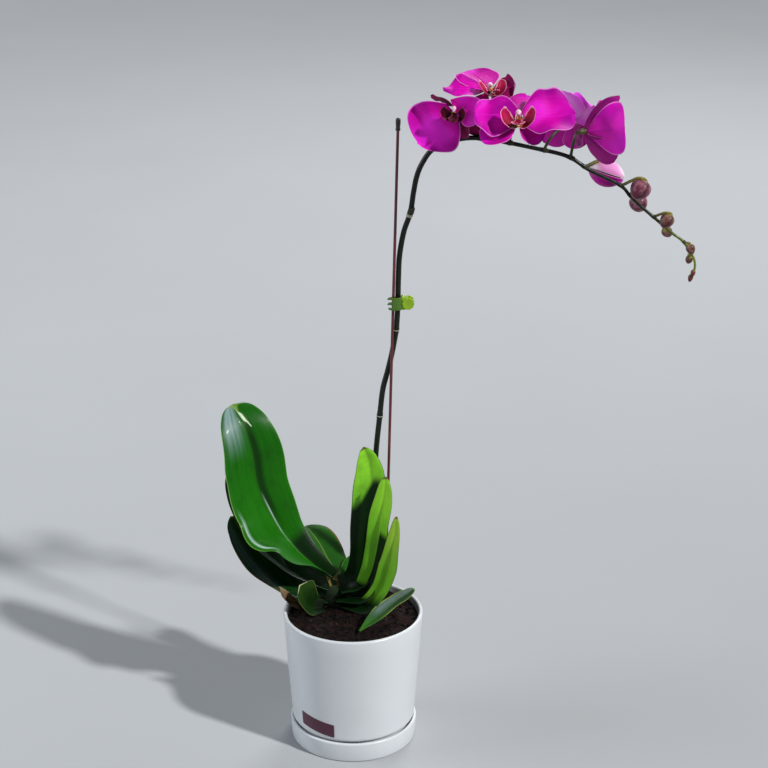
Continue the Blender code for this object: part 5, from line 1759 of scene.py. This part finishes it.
@dataclass
class Support:
    """The coated wire stake with its cap, and the sprung claw clip that holds the stem to it."""

    stake_bottom: Point = (30.7, 44.0, 60.0)
    stake_top: Point = (44.1, 30.3, 620.0)
    stake_radius: float = 1.4
    cap_radius: float = 2.4
    cap_length: float = 12.0
    hinge: tuple[float, float] = (49.8, 35.8)
    height: float = 450.2
    jaws: tuple[Jaw, ...] = (
        Jaw("front", -1, CLIP_FRONT, 112, (-5.2, 0.0, 5.2), (105, 152), ((-6.4, -3.2), (3.2, 6.4))),
        Jaw("rear", 1, PLANT, 75, (-2.6, 2.6), (68, 168), ((-2.8, 2.8),)))
    plate_height: float = 12.8
    plate_start: float = 26.0
    claw_middle: float = -7.6
    claw_length: float = 7.4
    claw_depth: float = 5.9
    web_reach: float = 6.4
    sleeve_bore: float = 1.25
    sleeve_radius: float = 2.0
    lug: float = 1.1
    pin_radius: float = 0.9
    pin_reach: float = 7.2
    coil_radius: float = 2.45
    coil_wire: float = 0.3
    strap_height: float = 2.4
    strap_thickness: float = 1.3
    tab_radius: float = 6.0
    tab_offset: float = 4.6

    def stake(self) -> Shell:
        """The straight stake."""
        centres = np.linspace(self.stake_bottom, self.stake_top, 60)
        return tube_shell(centres, np.full(60, self.stake_radius), 20)

    def cap(self) -> Shell:
        """The soft cap: a sleeve with a thick collar, a waist and a domed end.

        Returns:
            Its closed skin.
        """
        direction = unit(np.subtract(self.stake_top, self.stake_bottom))
        along = shares(40)
        centres = np.array(self.stake_top) + (along * self.cap_length)[:, None] * direction
        radius = self.cap_radius * (0.86 + 0.14 * bell(along, 0.08, 0.08)
                                    + 0.12 * smooth_step(along, 0.3, 0.6))
        radius = radius * np.sqrt(np.maximum(1 - smooth_step(along, 0.8, 1.02) ** 2, 0.02))
        return tube_shell(centres, radius, 24)

    def about_pin(self, radius: Any, angle: Array, height: Any) -> Array:
        """Points about the hinge pin.

        Args:
            radius: distance from its axis.
            angle: turn about it, in radians.
            height: height above the clip's middle.

        Returns:
            The points.
        """
        return np.stack(np.broadcast_arrays(self.hinge[0] + radius * np.cos(angle),
                                            self.hinge[1] + radius * np.sin(angle),
                                            self.height + height), axis=-1)

    def strap(self, side: int, rise: float, start: float, reach: float, tall: float) -> Shell:
        """A plate or a prong: a rounded oblong carried along an ellipse round stem and stake.

        Args:
            side: -1 in front of the stem, 1 behind it.
            rise: height of its middle above the clip's middle.
            start: angle at which it starts, in degrees.
            reach: angle at which it ends, in degrees.
            tall: its height.

        Returns:
            Its closed skin.
        """
        angle = np.radians(np.linspace(start, reach, 48))
        centre = np.stack([self.hinge[0] + self.claw_middle + self.claw_length * np.cos(angle),
                           self.hinge[1] + side * self.claw_depth * np.sin(angle),
                           np.full(48, self.height + rise)], axis=-1)
        normal = np.cross(unit(np.gradient(centre, axis=0)), (0, 0, 1))
        turn = full_turn(24)
        taper = 1 - 0.35 * smooth_step(shares(48), 0.75, 1.0)[:, None] * (tall < 4)
        thick, high = (np.sign(wave) * np.abs(wave) ** 0.5 * size / 2 for wave, size in
                       ((np.cos(turn), self.strap_thickness), (np.sin(turn), tall)))
        return ring_shell(lay(centre, (thick * taper, normal),
                              (high * taper, np.zeros_like(centre) + (0, 0, 1.0))))

    def tab(self, side: int) -> Shell:
        """A round thumb tab: a thin dished disc whose edge is scalloped ten times.

        Args:
            side: -1 in front, 1 behind.

        Returns:
            Its closed skin.
        """
        turn = full_turn(120)
        share = np.array([0.05, 0.35, 0.62, 0.82, 0.94, 1.0, 1.0, 0.94, 0.82, 0.62, 0.35, 0.05])[:, None]
        lift = np.array([0.35, 0.38, 0.5, 0.7, 0.75, 0.45, -0.45, -0.75, -0.7, -0.6, -0.55, -0.5])[:, None]
        grip = 0.1 * np.cos(10 * turn) * (share > 0.7)
        radius = share * self.tab_radius * (1 - 0.055 * (1 - np.cos(10 * turn)) / 2)
        return ring_shell(np.stack([self.hinge[0] + self.tab_offset + radius * np.cos(turn),
                                    self.hinge[1] + side * (4.2 + lift + grip * np.sign(lift)),
                                    self.height + radius * np.sin(turn)], axis=-1))

    def web(self, side: int) -> Shell:
        """The curved plate between prongs and tab: an S-shaped strip of even thickness.

        Args:
            side: -1 in front, 1 behind.

        Returns:
            Its closed skin.
        """
        x, y = self.hinge
        spine = smooth_path([(x + step, y + side * off, 0) for step, off in
                             ((-2.6, 3.2), (-0.5, 3.3), (2.2, 3.4), (5.0, 4.1))], shares(20))
        up = np.linspace(-1, 1, 21)
        reach = self.web_reach * (1 - 0.25 * smooth_step(shares(20), 0.4, 1.0))
        middle = np.repeat(spine[:, None], 21, axis=1)
        middle[..., 2] = self.height + reach[:, None] * up
        return blade_shell(middle, up, 1.5)

    def sleeve(self, side: int, low: float, high: float) -> Shell:
        """A sleeve on the pin, open through the middle, with a lug to its jaw.

        Args:
            side: -1 in front, 1 behind.
            low: lower end above the clip's middle.
            high: upper end above the clip's middle.

        Returns:
            Its closed skin.
        """
        turn = full_turn(40)
        bore, outer = self.sleeve_bore, self.sleeve_radius + self.lug * bell(np.sin(turn) * side, 1, 0.12)
        rings = [self.about_pin(radius, turn, z) for radius, z in
                 ((bore, low), (outer, low), (outer, high), (bore, high))]
        return Shell(np.vstack(rings), [grid_quads(4, 40, True)], np.zeros((160, 3))).outward()

    def spring(self) -> Shell:
        """The torsion spring: four close turns of wire round the middle sleeve."""
        coil = self.about_pin(self.coil_radius, shares(200) * 8 * math.pi + 0.6, 4.0 * shares(200) - 2.0)
        return tube_shell(coil, np.full(200, self.coil_wire), 10)

    def pin(self) -> Shell:
        """The upright hinge pin, bevelled at both ends."""
        heights = np.array([-self.pin_reach, 0.2 - self.pin_reach, self.pin_reach - 0.2, self.pin_reach])
        return tube_shell(self.about_pin(0.0, heights, heights),
                          self.pin_radius - np.array([0.2, 0.0, 0.0, 0.2]), 20)

    def build(self) -> None:
        """Make and dress the stake, its cap and the clip."""
        add_piece("stake_wire", [self.stake()], COATED_WIRE, ["stake"])
        add_piece("stake_end_cap", [self.cap()], SOFT_CAP, ["stake_cap"])
        for jaw in self.jaws:
            claw = [self.strap(jaw.side, 0.0, self.plate_start, jaw.plate_end, self.plate_height)]
            claw += [self.strap(jaw.side, rise, *jaw.span, self.strap_height) for rise in jaw.prongs]
            add_piece(f"clip_{jaw.name}", claw, SHADED_CLIP, [f"clip_{jaw.name}_jaw"],
                      jaw.body)
            handle = [self.web(jaw.side), self.tab(jaw.side)]
            handle += [self.sleeve(jaw.side, low, high) for low, high in jaw.sleeves]
            add_piece(f"clip_{jaw.name}_handle", handle, LIME_CLIP, body=jaw.body)
        add_piece("clip_axle", [self.pin()], STEEL, ["clip_pin"])
        add_piece("clip_coil", [self.spring()], STEEL)


# ---------- studio

@dataclass
class Studio:
    """The pale floor, the soft lamps and the camera."""

    eye: Point = (0.0312, -1.701, 1.026)
    pitch: float = 69.2
    lens: float = 89.06
    floor_reach: float = 6.0
    floor_colours: tuple[Colour, Colour] = ((0.385, 0.4, 0.415), (0.41, 0.425, 0.44))
    glow: Colour = (0.86, 0.92, 1.0)
    glow_strength: float = 0.17
    backdrop: Colour = (0.38, 0.4, 0.43)

    def floor(self) -> None:
        """A broad pale floor that carries the shadow."""
        mesh = bpy.data.meshes.new("studio_floor")
        r = self.floor_reach
        mesh.from_pydata([(-r, -r, 0), (r, -r, 0), (r, r, 0), (-r, r, 0)], [], [(0, 1, 2, 3)])
        recipe = Recipe("floor_finish", self.floor_colours[0])
        recipe.paint(recipe.noise(3.0), self.floor_colours[1])
        mesh.materials.append(recipe.done(0.9))
        item = link_item("studio_floor", mesh)

    def lamp(self, name: str, place: Point, aim: Point, size: float, power: float,
             colour: Colour = (1.0, 1.0, 1.0), kind: str = "AREA") -> None:
        """A soft lamp.

        Args:
            name: its name.
            place: where it hangs, in metres.
            aim: the point that it faces.
            size: side of a square lamp in metres, or spread of a far one in radians.
            power: watts, or watts for each square metre of a far one.
            colour: tint of its light.
            kind: AREA for a square lamp, SUN for one that is far away.
        """
        light = bpy.data.lights.new(name, kind)
        setattr(light, "angle" if kind == "SUN" else "size", size)
        light.energy, light.color = power, colour
        x, y, z = np.subtract(aim, place)
        link_item(name, light, place, (math.atan2(math.hypot(x, y), -z), 0.0,
                                       math.atan2(y, x) - math.pi / 2))

    def world(self) -> None:
        """Soft grey light all round, seen paler by the camera and in reflections."""
        world = bpy.data.worlds.new("studio_world")
        world.use_nodes = True
        tree, path, either, seen, back, mixer = world.node_tree, *(
            world.node_tree.nodes.new("ShaderNode" + kind)
            for kind in ("LightPath", "Math", "Math", "Background", "MixShader"))
        shade, end = tree.nodes["Background"], tree.nodes["World Output"]
        either.operation = seen.operation = "MAXIMUM"
        for shader, colour, strength in ((shade, self.glow, self.glow_strength),
                                         (back, self.backdrop, 1.0)):
            shader.inputs["Color"].default_value = (*colour, 1.0)
            shader.inputs["Strength"].default_value = strength
        for source, output, target, socket in (
                (path, "Is Camera Ray", either, 0), (path, "Is Glossy Ray", either, 1),
                (either, 0, seen, 0), (path, "Is Transmission Ray", seen, 1), (seen, 0, mixer, 0),
                (shade, 0, mixer, 1), (back, 0, mixer, 2), (mixer, 0, end, "Surface")):
            tree.links.new(source.outputs[output], target.inputs[socket])
        bpy.context.scene.world = world

    def camera(self) -> None:
        """The camera, a little above the flowers and looking down at the pot."""
        data = bpy.data.cameras.new("studio_camera")
        data.sensor_width, data.lens = 36.0, self.lens
        bpy.context.scene.camera = link_item("studio_camera", data, self.eye,
                                             (math.radians(self.pitch), 0.0, 0.0))

    def build(self) -> None:
        """Set up floor, lamps, world and camera."""
        self.floor()
        aim = (0.05, 0.0, 0.35)
        self.lamp("key_lamp", (2.3, -1.6, 2.8), aim, 0.06, 3.3, kind="SUN")
        self.lamp("side_lamp", (-2.8, -0.2, 1.3), aim, 1.6, 42.0, (0.9, 0.95, 1.0))
        self.lamp("rim_lamp", (0.9, 2.7, 2.4), aim, 1.2, 45.0)
        self.world()
        self.camera()
        bpy.context.scene.view_settings.view_transform = "Standard"


def main() -> None:
    """Build every sub-assembly in order."""
    logging.basicConfig(level=logging.INFO, format="%(name)s %(message)s")
    Studio().build()
    GlazedPot().build()
    GrowingMedium().build()
    Foliage().build()
    flowers = Spray().build()
    Spike().build(flowers)
    Support().build()


if __name__ == "__main__":
    main()
